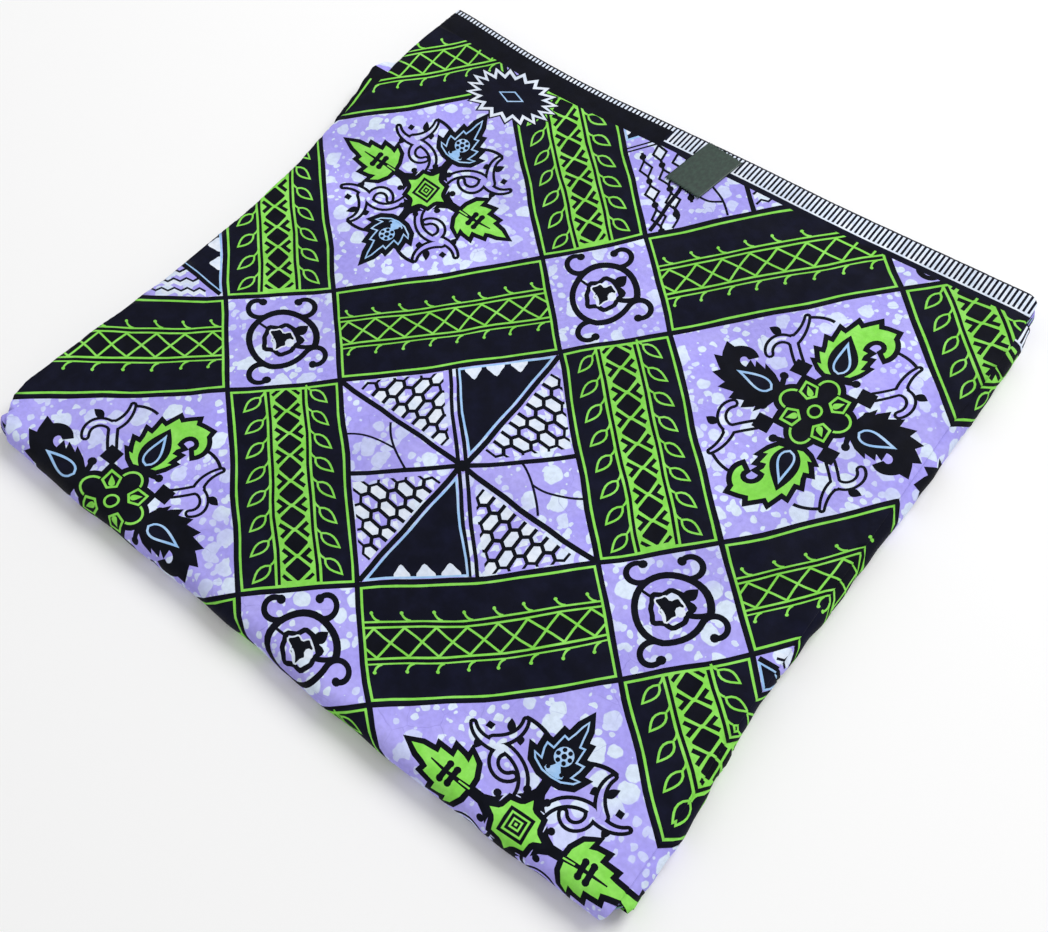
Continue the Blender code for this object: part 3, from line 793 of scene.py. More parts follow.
def leaf_tile():
    """Big tile with a lime star, four spiky leaves on its diagonals and four forked scrolls."""
    s = tile_ground()
    for degrees in CROSS:
        s.copy_in(forked_scroll(), degrees, flip=degrees in (90, 270))
    s.around(DIAGONALS, (INK, (*HALF_ARM, *((x, -y) for x, y in HALF_ARM[::-1]))))
    vines = [sweep((0.700, side * 0.190), side * 62, 0.24, side * 40) for side in (-1, 1)]
    s.around((315, 135), *((INK, band(vine, 0.018)) for vine in vines))
    r = [radius for tip in STAR_TIPS * 4 for radius in (tip, STAR_SIDE, STAR_NOTCH, STAR_SIDE)]
    a = math.tau * np.arange(len(r)) / len(r)
    star = np.stack((r * np.cos(a), r * np.sin(a)), -1)
    s.add((INK, grown(star, STAR_LINE)), (LIME, star))
    for r, color in STAR_SQUARES:
        s.put(color, ((r, 0), (0, r), (-r, 0), (0, -r)))
    leaf = toothed(LEAF_LENGTH, LEAF_WIDTH, 4, 0.30)
    for part, directions in ((lime_leaf(leaf), (225, 45)), (dark_leaf(leaf), (315, 135))):
        for degrees in directions:
            s.copy_in(part, degrees, LEAF_START)
    return s


# Flower tile: where its plumes begin, an inner petal and the rings of its heart
PLUME_START = 0.360
PETAL = np.array(((0.125, -0.047), (0.215, -0.090), (0.302, 0.0), (0.215, 0.090), (0.125, 0.047)))
HEART_RINGS = ((INK, 0.118, 20), (LIME, 0.067, 18), (INK, 0.047, 16))


def plume_part(kind):
    """Lime plume with a dark core, or a smaller dark one; both have a sky eye and two hooks at their foot."""
    s = Sheet((INK, band(((0.20 - PLUME_START, 0.0), (0.44 - PLUME_START, 0.0)), 0.052)))
    for side in (-1, 1):
        s.curl(INK, sweep((0.0, side * 0.02), side * 92, 0.150, side * -24, 1.0, 7), 0.026, 0.022, 0.038)
    lean = 0.0
    if kind == LIME:
        lean = PLUME_LEAN
        body = plume(0.046)
        s.add((INK, grown(body, 0.036)), (LIME, grown(body, -0.009)),
              (INK, turned(almond(0.460, 0.250, 15), PLUME_LEAN, (-0.010, 0.0))))
    else:
        s.put(INK, grown(plume(0.070), 0.024) * NAVY_PLUME)
    s.around((lean,), (SKY, teardrop(0.340, 0.158, 15) + (0.045, 0.0)),
             (NAVY, teardrop(0.262, 0.118, 15) + (0.066, 0.0)))
    return s


def flower_tile():
    """Big tile with a round flower, four plumes on its diagonals and Y-shaped scrolls on its axes."""
    s = tile_ground()
    for degrees in CROSS:
        s.copy_in(y_scroll(), degrees, flip=degrees in (90, 270))
    for kind, directions in ((LIME, (315, 135)), (NAVY, (225, 45))):
        for degrees in directions:
            s.copy_in(plume_part(kind), degrees, PLUME_START)
    s.around(DIAGONALS, (INK, oval(0.205, 0.0, 0.170, 0.154, 22)))
    s.around(CROSS, (INK, grown(PETAL, 0.050)))
    s.put(INK, oval(0, 0, 0.230, count=24))
    s.around(DIAGONALS, (LIME, oval(0.208, 0.0, 0.122, 0.106, 22)), (INK, oval(0.208, 0.0, 0.101, 0.085, 22)),
             (INK, oval(0.120, 0.0, 0.070, 0.062, 14)))
    s.around(CROSS, (INK, grown(PETAL, 0.014)), (LIME, PETAL), (INK, grown(PETAL, -0.021)),
             (LIME, teardrop(0.105, 0.060, 9) + (0.142, 0.0)))
    for color, radius, count in HEART_RINGS:
        s.put(color, oval(0, 0, radius, count=count))
    return s


# The print repeats every BLOCK lattice units; where it is plain, only a tile's first shapes are drawn
BLOCK = 3
TILES = {"ring": ring_square(), "upright": vertical_strip(), "lying": horizontal_strip(),
         "wheel": wheel_tile(), "other": other_wheel_tile(), "leaf": leaf_tile(), "flower": flower_tile()}
PLAIN_SHAPES = {"upright": 4, "lying": 4}


def lattice_shapes(low, high, plain):
    """All shapes of the print whose cells lie between two lattice corners, fewer where it is plain."""
    out = []
    first = [math.floor(value / BLOCK) - 1 for value in low]
    last = [math.ceil(value / BLOCK) + 1 for value in high]
    for i in range(first[0], last[0]):
        for j in range(first[1], last[1]):
            u, v = BLOCK * i, BLOCK * j
            if (i + j) % 2 == 0:
                big = "wheel" if (i, j) == (0, 0) else "other"
            else:
                big = "leaf" if i % 2 == 0 else "flower"
            for name, at in (("ring", (u + 0.5, v + 0.5)), ("upright", (u, v + 1)), ("lying", (u + 1, v)),
                             (big, (u + 2, v + 2))):
                shapes = TILES[name].shapes
                if plain(u + BLOCK / 2, v + BLOCK / 2):
                    shapes = shapes[:PLAIN_SHAPES.get(name, 1)]
                out += [(color, points + np.array(at)) for color, points in shapes]
    return out


def to_lattice(x, y):
    """Lattice position of a place on the flat cloth; beyond the top it runs on straight."""
    place = np.stack((x, y), -1) / PRINT_UNIT
    kept = np.clip(place, -PRINT_LIMIT, PRINT_LIMIT)
    terms = np.stack([kept[..., 0] ** a * kept[..., 1] ** b for a, b in POWERS], -1)
    return terms @ LATTICE.T + (place - kept) @ LATTICE[:, 1:3].T


def from_lattice(uv):
    """Place on the flat cloth of a lattice position, found by repeated small corrections."""
    uv = np.asarray(uv, float)
    linear = np.linalg.inv(LATTICE[:, 1:3]).T * PRINT_UNIT
    p = (uv - LATTICE[:, 0]) @ linear
    for _ in range(24):
        p = p + (uv - to_lattice(p[:, 0], p[:, 1])) @ linear
    return p


# Waves of the print's unevenness, in x and in y: height in metres, waves along x and y, and start
WOBBLES = (((0.0006, 61, 23, 0.0), (0.0004, -37, 140, 1.0)),
           ((0.0006, -31, 57, 2.0), (0.0004, 150, 29, 0.0)))


def hand_wobble(p):
    """Small unevenness of hand-set printing, under a millimetre."""
    x, y = p[:, 0], p[:, 1]
    moves = [sum(height * np.sin(a * x + b * y + start) for height, a, b, start in rows) for rows in WOBBLES]
    return p + np.stack(moves, -1)


# Printed selvedge, in metres from the cloth's edge: its ground, a thin pale line, long bars and short ticks
SELVEDGE_PITCH, SELVEDGE_BAR = 0.00418, 0.0022
GROUND_DEEP, BARS_GROUND_DEEP = 0.0290, 0.0280
PALE_LINE = (0.0222, 0.0204)
BAR_DEEP, TICK_DEEP, BAR_START = 0.0210, 0.0068, 0.0018


def selvedge_shapes(edge_y, left, right, full_from):
    """Printed edge: short ticks on the left part, long bars with an inner line on the right part."""
    over = edge_y + 0.001
    out = [(INK, rect(left - 0.01, edge_y - GROUND_DEEP, full_from, over)),
           (NAVY, rect(full_from - 0.001, edge_y - BARS_GROUND_DEEP, right + 0.01, over)),
           (WHITE, rect(full_from, edge_y - PALE_LINE[0], right + 0.01, edge_y - PALE_LINE[1]))]
    for x in left + SELVEDGE_PITCH * np.arange(int((right - left) / SELVEDGE_PITCH) + 2):
        deep = BAR_DEEP if x > full_from else TICK_DEEP
        out.append((WHITE, rect(x, edge_y - deep, x + SELVEDGE_BAR, edge_y - BAR_START)))
    return out


ROSETTE_PLACE = (3.015, -1.900)
ROSETTE_TURN = 8.0
ROSETTE_X, ROSETTE_Y, ROSETTE_NOTCH = 0.0470, 0.0325, 0.76
ROSETTE_TEETH = 19
ROSETTE_LINES = ((INK, 0.0022), (WHITE, 0.0006), (NAVY, -0.0026))
LOZENGE_X, LOZENGE_Y, LOZENGE_LINE = 0.014, 0.008, 0.0014


def rosette_shapes():
    """Plain pointed rosette: thick pale zigzag on a dark ground, with a small lozenge at its middle."""
    at = from_lattice((ROSETTE_PLACE,))[0]
    points = []
    for k in range(2 * ROSETTE_TEETH):
        a = math.pi * k / ROSETTE_TEETH
        r = 1.0 if k % 2 == 0 else ROSETTE_NOTCH
        points.append((ROSETTE_X * r * math.cos(a), ROSETTE_Y * r * math.sin(a)))
    zigzag = turned(points, ROSETTE_TURN, at)
    corners = ((LOZENGE_X, 0.0), (0.0, LOZENGE_Y), (-LOZENGE_X, 0.0), (0.0, -LOZENGE_Y))
    lozenge = turned(corners, ROSETTE_TURN, at)
    return [*((color, grown(zigzag, more)) for color, more in ROSETTE_LINES),
            (SKY, lozenge), (NAVY, grown(lozenge, -LOZENGE_LINE))]


def inside(points, outline):
    """Which points lie inside a closed outline, however it is wound."""
    x, y = points[:, :1], points[:, 1:]
    x0, y0 = outline[:, 0], outline[:, 1]
    x1, y1 = np.roll(x0, -1), np.roll(y0, -1)
    left_of = (x1 - x0) * (y - y0) - (x - x0) * (y1 - y0)
    turns = ((y0 <= y) & (y1 > y) & (left_of > 0)).sum(1) - ((y0 > y) & (y1 <= y) & (left_of < 0)).sum(1)
    return turns != 0


def inside_many(points, outline):
    """The same for very many points, a part at a time."""
    parts = np.array_split(points, max(1, len(points) // 4000))
    return np.concatenate([inside(part, outline) for part in parts])


CUT_SCALE, CUT_MERGE, CUT_MARGIN = 100.0, 2e-4, 0.002


def cut_sheet(domain, shapes, extra):
    """Triangles of a flat domain, cut along every shape, each with the colour of the topmost shape."""
    low = domain.min(axis=0) - CUT_MARGIN
    high = domain.max(axis=0) + CUT_MARGIN
    kept = [(INK, domain)]
    kept += [(color, points) for color, points in shapes
             if (points.max(axis=0) > low).all() and (points.min(axis=0) < high).all()]
    verts = []
    edges = []
    for color, points in kept:
        first = len(verts)
        count = len(points)
        verts.extend(map(tuple, points))
        edges.extend((first + k, first + (k + 1) % count) for k in range(count))
    verts.extend(map(tuple, extra))
    places = [Vector((x * CUT_SCALE, y * CUT_SCALE)) for x, y in verts]
    made = delaunay_2d_cdt(places, edges, [], 0, CUT_MERGE, False)
    points = np.array([tuple(v) for v in made[0]]) / CUT_SCALE
    tris = np.array(made[2])
    centres = points[tris].mean(axis=1)
    order = np.argsort(centres[:, 0])
    tris, centres = tris[order], centres[order]
    paint = np.full(len(tris), -1)
    for color, outline in kept:
        a, b = np.searchsorted(centres[:, 0], (outline[:, 0].min(), outline[:, 0].max()))
        y = centres[a:b, 1]
        near = np.arange(a, b)[(y > outline[:, 1].min()) & (y < outline[:, 1].max())]
        if len(near):
            paint[near[inside(centres[near], outline)]] = color
    in_domain = inside_many(centres, domain)
    used, index = np.unique(tris[in_domain], return_inverse=True)
    return points[used], index.reshape(-1, 3), paint[in_domain]


# One soft sag of the print, in lattice units: its middle, its spread both ways and its depth
SAG_AT, SAG_WIDTH, SAG_DEPTH = (2.05, 3.55), (0.62, 0.85), 0.060
LONGEST_EDGE = 0.16


def split_edges(points):
    """The outline with points added along its long edges, so that they can bend with the cloth."""
    points = np.asarray(points, float)
    edge = np.roll(points, -1, axis=0) - points
    parts = np.maximum(1, np.ceil(np.hypot(edge[:, 0], edge[:, 1]) / LONGEST_EDGE)).astype(int)
    start = np.repeat(np.arange(len(points)), parts)
    share = (np.arange(len(start)) - np.repeat(np.cumsum(parts) - parts, parts)) / parts[start]
    return points[start] + edge[start] * share[:, None]


def on_cloth(shapes):
    """The shapes moved from the lattice to the flat cloth, with the soft sag and the wobble."""
    shapes = [(color, split_edges(points)) for color, points in shapes]
    ends = np.cumsum([len(points) for color, points in shapes])[:-1]
    uv = np.vstack([points for color, points in shapes])
    away = (uv - SAG_AT) / SAG_WIDTH
    uv[:, 1] += SAG_DEPTH * np.exp(-(away ** 2).sum(axis=1))
    places = hand_wobble(from_lattice(uv))
    return [(color, part) for (color, points), part in zip(shapes, np.split(places, ends))]


# Building the pieces
def add_item(name, data):
    item = bpy.data.objects.new(name, data)
    bpy.context.scene.collection.objects.link(item)
    return item


def add_mesh(name, points, tris, normals, paint, materials, maps):
    """One mesh with a material index for each triangle, smooth given normals and flat maps."""
    mesh = bpy.data.meshes.new(name)
    mesh.vertices.add(len(points))
    mesh.vertices.foreach_set("co", np.asarray(points, np.float32).ravel())
    mesh.loops.add(3 * len(tris))
    mesh.loops.foreach_set("vertex_index", np.asarray(tris, np.int32).ravel())
    mesh.polygons.add(len(tris))
    mesh.polygons.foreach_set("loop_start", np.arange(0, 3 * len(tris), 3, dtype=np.int32))
    mesh.polygons.foreach_set("material_index", np.asarray(paint, np.int32))
    mesh.polygons.foreach_set("use_smooth", np.ones(len(tris), bool))
    for key, place in maps:
        layer = mesh.uv_layers.new(name=key)
        layer.data.foreach_set("uv", np.asarray(place, np.float32)[np.asarray(tris)].ravel())
    mesh.update(calc_edges=True)
    mesh.validate()
    for material in materials:
        mesh.materials.append(material)
    if normals is not None:
        mesh.normals_split_custom_set_from_vertices(np.asarray(normals, np.float32))
    return add_item(name, mesh)


def add_plain(name, points, tris, material, flat):
    """One mesh of one material."""
    return add_mesh(name, points, tris, None, np.zeros(len(tris)), [material], (("Cloth", flat),))


def grid_points(xs, ys):
    a, b = np.meshgrid(xs, ys)
    return np.stack((a.ravel(), b.ravel()), -1)


def grid_tris(rows, columns):
    """Triangles of a grid of points, given row by row."""
    p = (np.arange(rows)[:, None] * (columns + 1) + np.arange(columns)).ravel()
    q = p + columns + 1
    return np.vstack((np.stack((p, q, q + 1), -1), np.stack((p, q + 1, p + 1), -1)))


# Steps of the outer sheet's points, where its print changes and its place on the flat map, in metres
TOP_STEP = 0.0065
ROLL_STEP_X, ROLL_STEP_T = 0.0030, 0.0014
UNDER_STEP, UNDER_ROWS = 0.030, 40
ROLL_MARGIN = 0.003
LIP_LINES = (0.0001, 0.0003, 0.0006, 0.0009, 0.0013)
FIRST_LINES = (0.0002, 0.0004, 0.0007)
BAKE_TOP_SHARE = 0.92
BAKE_LEFT, BAKE_WIDTH = -0.3040, 0.6125
PRINT_RIGHT = 0.3080
HIDDEN_FROM = 0.11
LONG_BARS_FROM = -0.034


def build_outer(materials):
    """Printed outer sheet: top, roll and underside."""
    roll_end = FLAT_LENGTH + ROLL_LENGTH
    ts = np.concatenate((np.arange(0.0, FLAT_LENGTH - 0.004, TOP_STEP),
                         np.arange(FLAT_LENGTH - ROLL_MARGIN, roll_end + ROLL_MARGIN, ROLL_STEP_T),
                         np.linspace(roll_end + 0.005, OUTER_LENGTH, UNDER_ROWS)))
    lefts, rights = outer_edges(ts)
    ys = SELVEDGE_Y - ts
    domain = np.vstack((np.stack((lefts, ys), -1), np.stack((rights, ys), -1)[::-1]))
    extra = []
    for t, a, b in list(zip(ts, lefts, rights))[1:-1]:
        step = ROLL_STEP_X if t < roll_end + ROLL_MARGIN else UNDER_STEP
        if t < FLAT_LENGTH - ROLL_MARGIN:
            step = TOP_STEP
        xs = np.concatenate((np.linspace(a + 0.002, b - 0.002, int((b - a) / step)),
                             [a + d for d in LIP_LINES], [b - d for d in LIP_LINES]))
        extra.append(grid_points(xs, [SELVEDGE_Y - t]))
    for t in FIRST_LINES:
        extra.append(grid_points(np.arange(lefts[0] + 0.003, rights[0] - 0.003, 0.006), [SELVEDGE_Y - t]))
    corners = np.array([to_lattice(np.array(x), np.array(SELVEDGE_Y - t)) for x in (-0.32, 0.32)
                        for t in (0.0, OUTER_LENGTH)])

    def plain(u, v):
        return SELVEDGE_Y - from_lattice(((u, v),))[0, 1] > roll_end + HIDDEN_FROM

    shapes = on_cloth(lattice_shapes(corners.min(axis=0) - 1, corners.max(axis=0) + 1, plain))
    shapes += selvedge_shapes(SELVEDGE_Y, lefts[0], PRINT_RIGHT, LONG_BARS_FROM) + rosette_shapes()
    flat, tris, paint = cut_sheet(domain, shapes, np.vstack(extra))
    x, t = flat[:, 0], SELVEDGE_Y - flat[:, 1]
    normals = -surface_normals(outer_surface, x, t)
    bake_t = roll_end + 0.01
    v = np.where(t < bake_t, 1.0 - BAKE_TOP_SHARE * t / bake_t,
                 (1.0 - BAKE_TOP_SHARE) * (OUTER_LENGTH - t) / (OUTER_LENGTH - bake_t))
    bake = 0.002 + 0.996 * np.stack(((x - BAKE_LEFT) / BAKE_WIDTH, v), -1)
    maps = (("Cloth", flat), ("OFBake", bake))
    return add_mesh("outer_sheet", outer_surface(x, t), tris, normals, paint, materials, maps)


# Second sheet: where its print begins, its pale patch and its flat map
SHOWN_FROM, PRINT_FROM = 0.255, 0.262
PATCH_LEFT, PATCH_RIGHT = -0.34, -0.285
PATCH_GROUND_Y, PATCH_PALE_Y = (0.188, 0.230), (0.194, 0.222)
PATCH_STRIPE = ((-0.3075, 0.172), (-0.3000, 0.140), (-0.2950, 0.118))
MAP_LEFT, MAP_INNER, MAP_HIDDEN, MAP_RIGHT = -0.318, -0.270, 0.266, 0.345


def second_print():
    """Print of the second sheet: the outer print carried on round the fold, and a pale patch at its left."""
    shapes = []
    for color, points in on_cloth(lattice_shapes((-1.0, -3.0), (8.0, 5.0), lambda u, v: False)):
        if points[:, 0].max() > SHOWN_FROM:
            folded = points.copy()
            folded[:, 0] = 2.0 * outer_right(np.clip(points[:, 1], -0.300, SELVEDGE_Y)) - points[:, 0]
            if folded[:, 0].max() > PRINT_FROM:
                shapes.append((color, folded))
    shapes.append((INK, rect(PATCH_LEFT, -0.31, PRINT_FROM, 0.31)))
    for color, (low, high) in ((LAVENDER, PATCH_GROUND_Y), (WHITE, PATCH_PALE_Y)):
        shapes.append((color, rect(PATCH_LEFT, low, PATCH_RIGHT, high)))
    shapes.append((LIME, band(PATCH_STRIPE, 0.0010)))
    return shapes


def build_second(materials):
    """Printed second sheet: what shows is its right side with the roll, and its left edge."""
    last = (SECOND_REACH + SECOND_HALF) / 2 * (math.pi / 2 - SECOND_LAST_ANGLE)
    ys = np.concatenate(([SECOND_SELVEDGE_Y, SECOND_SELVEDGE_Y - 0.0003, SECOND_SELVEDGE_Y - 0.0007],
                         np.arange(SECOND_SELVEDGE_Y - 0.004, SECOND_NEAR_Y, -0.004), [SECOND_NEAR_Y]))
    left = along(SECOND_LEFT_Y, SECOND_LEFT_X, ys)
    centre = along(SECOND_RIGHT_Y, SECOND_RIGHT_X, ys) - SECOND_REACH
    domain = np.vstack((np.stack((left, ys), -1), np.stack((centre + last, ys), -1)[::-1]))
    extra = []
    for k, y in enumerate(ys[1:-1], 1):
        rows = [centre[k] + np.concatenate((np.linspace(0.0, last, 18)[:-1], [-0.004, -0.010, -0.018])),
                left[k] + np.array((0.003, 0.010, 0.016, 0.022))]
        if k % 5 == 0:
            rows.append(np.linspace(left[k] + 0.006, centre[k] - 0.03, 28))
        extra.append(grid_points(np.concatenate(rows), [y]))
    shapes = second_print() + selvedge_shapes(SECOND_SELVEDGE_Y, 0.268, MAP_RIGHT, 0.260)
    flat, tris, paint = cut_sheet(domain, shapes, np.vstack(extra))
    x, y = flat[:, 0], flat[:, 1]
    normals = surface_normals(second_surface, x, y)
    u = np.interp(x, (MAP_LEFT, MAP_INNER, MAP_HIDDEN, MAP_RIGHT), (0.01, 0.21, 0.50, 0.99))
    v = 0.01 + 0.98 * (y - SECOND_NEAR_Y) / (SECOND_SELVEDGE_Y - SECOND_NEAR_Y)
    maps = (("Cloth", flat), ("OFBake", np.stack((u, v), -1)))
    return add_mesh("second_sheet", second_surface(x, y), tris, normals, paint, materials, maps)


LAYERS = 15
LAYER_STEPS = 4
SIDE_POINTS, CORNER_POINTS = 90, 8
CALM_SHARE = 0.35
WANDER_DEPTH, GROOVE_DEPTH = 0.0016, 0.0008


def stack_border():
    """Core's border, anticlockwise from its right side: places, ways out and the side of each place."""
    near_y = ROLL_CENTRE_Y
    far_y = SELVEDGE_Y - STACK_EDGE_INSET - STACK_CORNER
    first_y = near_y + STACK_CORNER
    ys = np.linspace(first_y, far_y, SIDE_POINTS)
    rights = along(SECOND_RIGHT_Y, SECOND_RIGHT_X, ys) - SECOND_REACH - CORE_INSET
    lefts = outer_left(ys) + STACK_EDGE_INSET
    corners = ((rights[-1] - STACK_CORNER, far_y), (lefts[-1] + STACK_CORNER, far_y),
               (lefts[0] + STACK_CORNER, first_y), (rights[0] - STACK_CORNER, first_y))
    far_xs = np.linspace(corners[0][0], corners[1][0], SIDE_POINTS)
    near_xs = np.linspace(corners[2][0], corners[3][0], SIDE_POINTS)
    level = np.ones(SIDE_POINTS)
    sides = (((1.0, 0.0), rights, ys), ((0.0, 1.0), far_xs, (far_y + STACK_CORNER) * level),
             ((-1.0, 0.0), lefts[::-1], ys[::-1]), ((0.0, -1.0), near_xs, near_y * level))
    rows = []
    for kind, (way, xs, side_ys) in enumerate(sides):
        rows += [(x, y, *way, kind) for x, y in zip(xs, side_ys)]
        x, y = corners[kind]
        for k in range(1, CORNER_POINTS):
            a = math.pi / 2 * (kind + k / CORNER_POINTS)
            way = (math.cos(a), math.sin(a))
            owner = kind if 2 * k < CORNER_POINTS else (kind + 1) % 4
            rows.append((x + STACK_CORNER * way[0], y + STACK_CORNER * way[1], *way, owner))
    rows = np.array(rows)
    return rows[:, :2], rows[:, 2:4], rows[:, 4].astype(int)


def build_stack(material):
    """Hidden layers: one rounded solid whose sides show each folded layer."""
    border, ways, kinds = stack_border()
    count = len(border)
    inset = WALL + GAP + LOOSE
    inner = STACK_EDGE_INSET - CORE_INSET
    depth = np.array((SECOND_REACH - inset, inner, inner, ROLL_REACH - inset))[kinds]
    middle = np.array((SECOND_MIDDLE_Z, ROLL_HALF, ROLL_HALF, ROLL_HALF))[kinds]
    half = np.array((SECOND_HALF - GAP, ROLL_HALF, ROLL_HALF, ROLL_HALF - GAP))[kinds] - WALL
    calm = np.array((CALM_SHARE, 1.0, 1.0, CALM_SHARE))[kinds]
    where = math.tau * np.arange(count) / count
    rings = []
    flat = []
    levels = LAYERS * LAYER_STEPS
    length = np.concatenate(([0.0], np.cumsum(np.linalg.norm(np.diff(border, axis=0), axis=1))))
    for j in range(levels + 1):
        part = j / levels
        z = STACK_FOOT + (STACK_TOP - STACK_FOOT) * part
        layer = min(j // LAYER_STEPS, LAYERS - 1)
        f = (j % LAYER_STEPS) / LAYER_STEPS
        nose = math.sqrt(max(0.0, 1.0 - (2 * f - 1) ** 2)) if j < levels else 0.0
        wander = 0.5 + 0.25 * np.sin(2.4 * layer + 3 * where) + 0.25 * np.sin(4.7 * layer + 11 * where + 1.0)
        reach = depth * np.sqrt(np.maximum(0.0, 1.0 - ((z - middle) / half) ** 2))
        reach = np.maximum(reach - WANDER_DEPTH * calm * wander, 0.0) - GROOVE_DEPTH * (1.0 - nose)
        xy = border + ways * reach[:, None]
        rings.append(np.column_stack((xy, z - drop(*xy.T) * part)))
        flat.append(np.stack((length, np.full(count, layer * 0.37 + 0.012 * f)), -1))
    centre = count * (levels + 1)
    middle_xy = rings[-1][:, :2].mean(axis=0)
    points = np.vstack(rings + [[[*middle_xy, STACK_TOP - 0.0006], [*middle_xy, STACK_FOOT]]])
    flat = np.vstack(flat + [[[0.1, 0.1], [0.2, 0.2]]])
    a = np.arange(count)
    b = (a + 1) % count
    top = levels * count
    tris = []
    for low in range(0, top, count):
        tris.append(np.stack((low + a, low + b, low + count + b), -1))
        tris.append(np.stack((low + a, low + count + b, low + count + a), -1))
    tris.append(np.stack((top + a, top + b, np.full(count, centre)), -1))
    tris.append(np.stack((b, a, np.full(count, centre + 1)), -1))
    return add_plain("layer_edges", settled(points), np.vstack(tris), material, flat)


LABEL_LIFT, LABEL_THICK, LABEL_CURL = 0.00065, 0.0006, 0.0006
LABEL_ROWS = 24


def build_label(material):
    """Small label: thin, flat on the selvedge, toothed ends, its corners very slightly lifted."""
    near = np.array(LABEL_NEAR_END)
    way = np.array(LABEL_FAR_END) - near
    length = float(np.linalg.norm(way))
    way = way / length
    side = np.array((way[1], -way[0]))
    rows, columns = LABEL_ROWS, 2 * LABEL_TEETH
    a = np.linspace(-LABEL_WIDTH / 2, LABEL_WIDTH / 2, columns + 1)
    notch = np.where(np.arange(columns + 1) % 2 == 1, LABEL_TOOTH * 0.8, 0.0)
    points = []
    flat = []
    for thick in (LABEL_THICK, 0.0):
        for k in range(rows + 1):
            b = notch + (length - 2 * notch) * (1.0 - k / rows)
            xy = near + way * b[:, None] + side * a[:, None]
            place = outer_surface(xy[:, 0], SELVEDGE_Y - xy[:, 1])
            ends = smooth((np.abs(2 * b / length - 1.0) - 0.6) / 0.4)
            place[:, 2] += LABEL_LIFT + thick + LABEL_CURL * ends * (0.5 + 0.5 * np.sin(70 * a + 1.0))
            points.append(place)
            flat.append(xy - near)
    wide = columns + 1
    half = (rows + 1) * wide
    top = grid_tris(rows, columns)
    grid = np.arange(half).reshape(rows + 1, wide)
    p = np.concatenate((grid[0], grid[1:, -1], grid[-1, -2::-1], grid[-2:0:-1, 0]))
    q = np.roll(p, -1)
    walls = (np.stack((p, q, half + q), -1), np.stack((p, half + q, half + p), -1))
    flat = np.vstack(flat)
    place = np.stack((flat @ side / LABEL_WIDTH + 0.5, flat @ way / length), -1)
    tris = np.vstack((top, half + top[:, ::-1], *walls))
    return add_plain("label_visual", np.vstack(points), tris, material, place)


# Materials
THREAD_SCALE, THREAD_DEPTH = 560.0, 0.0002


def srgb(code):
    values = [int(code[k:k + 2], 16) / 255 for k in (0, 2, 4)]
    return [v / 12.92 if v <= 0.04045 else ((v + 0.055) / 1.055) ** 2.4 for v in values]


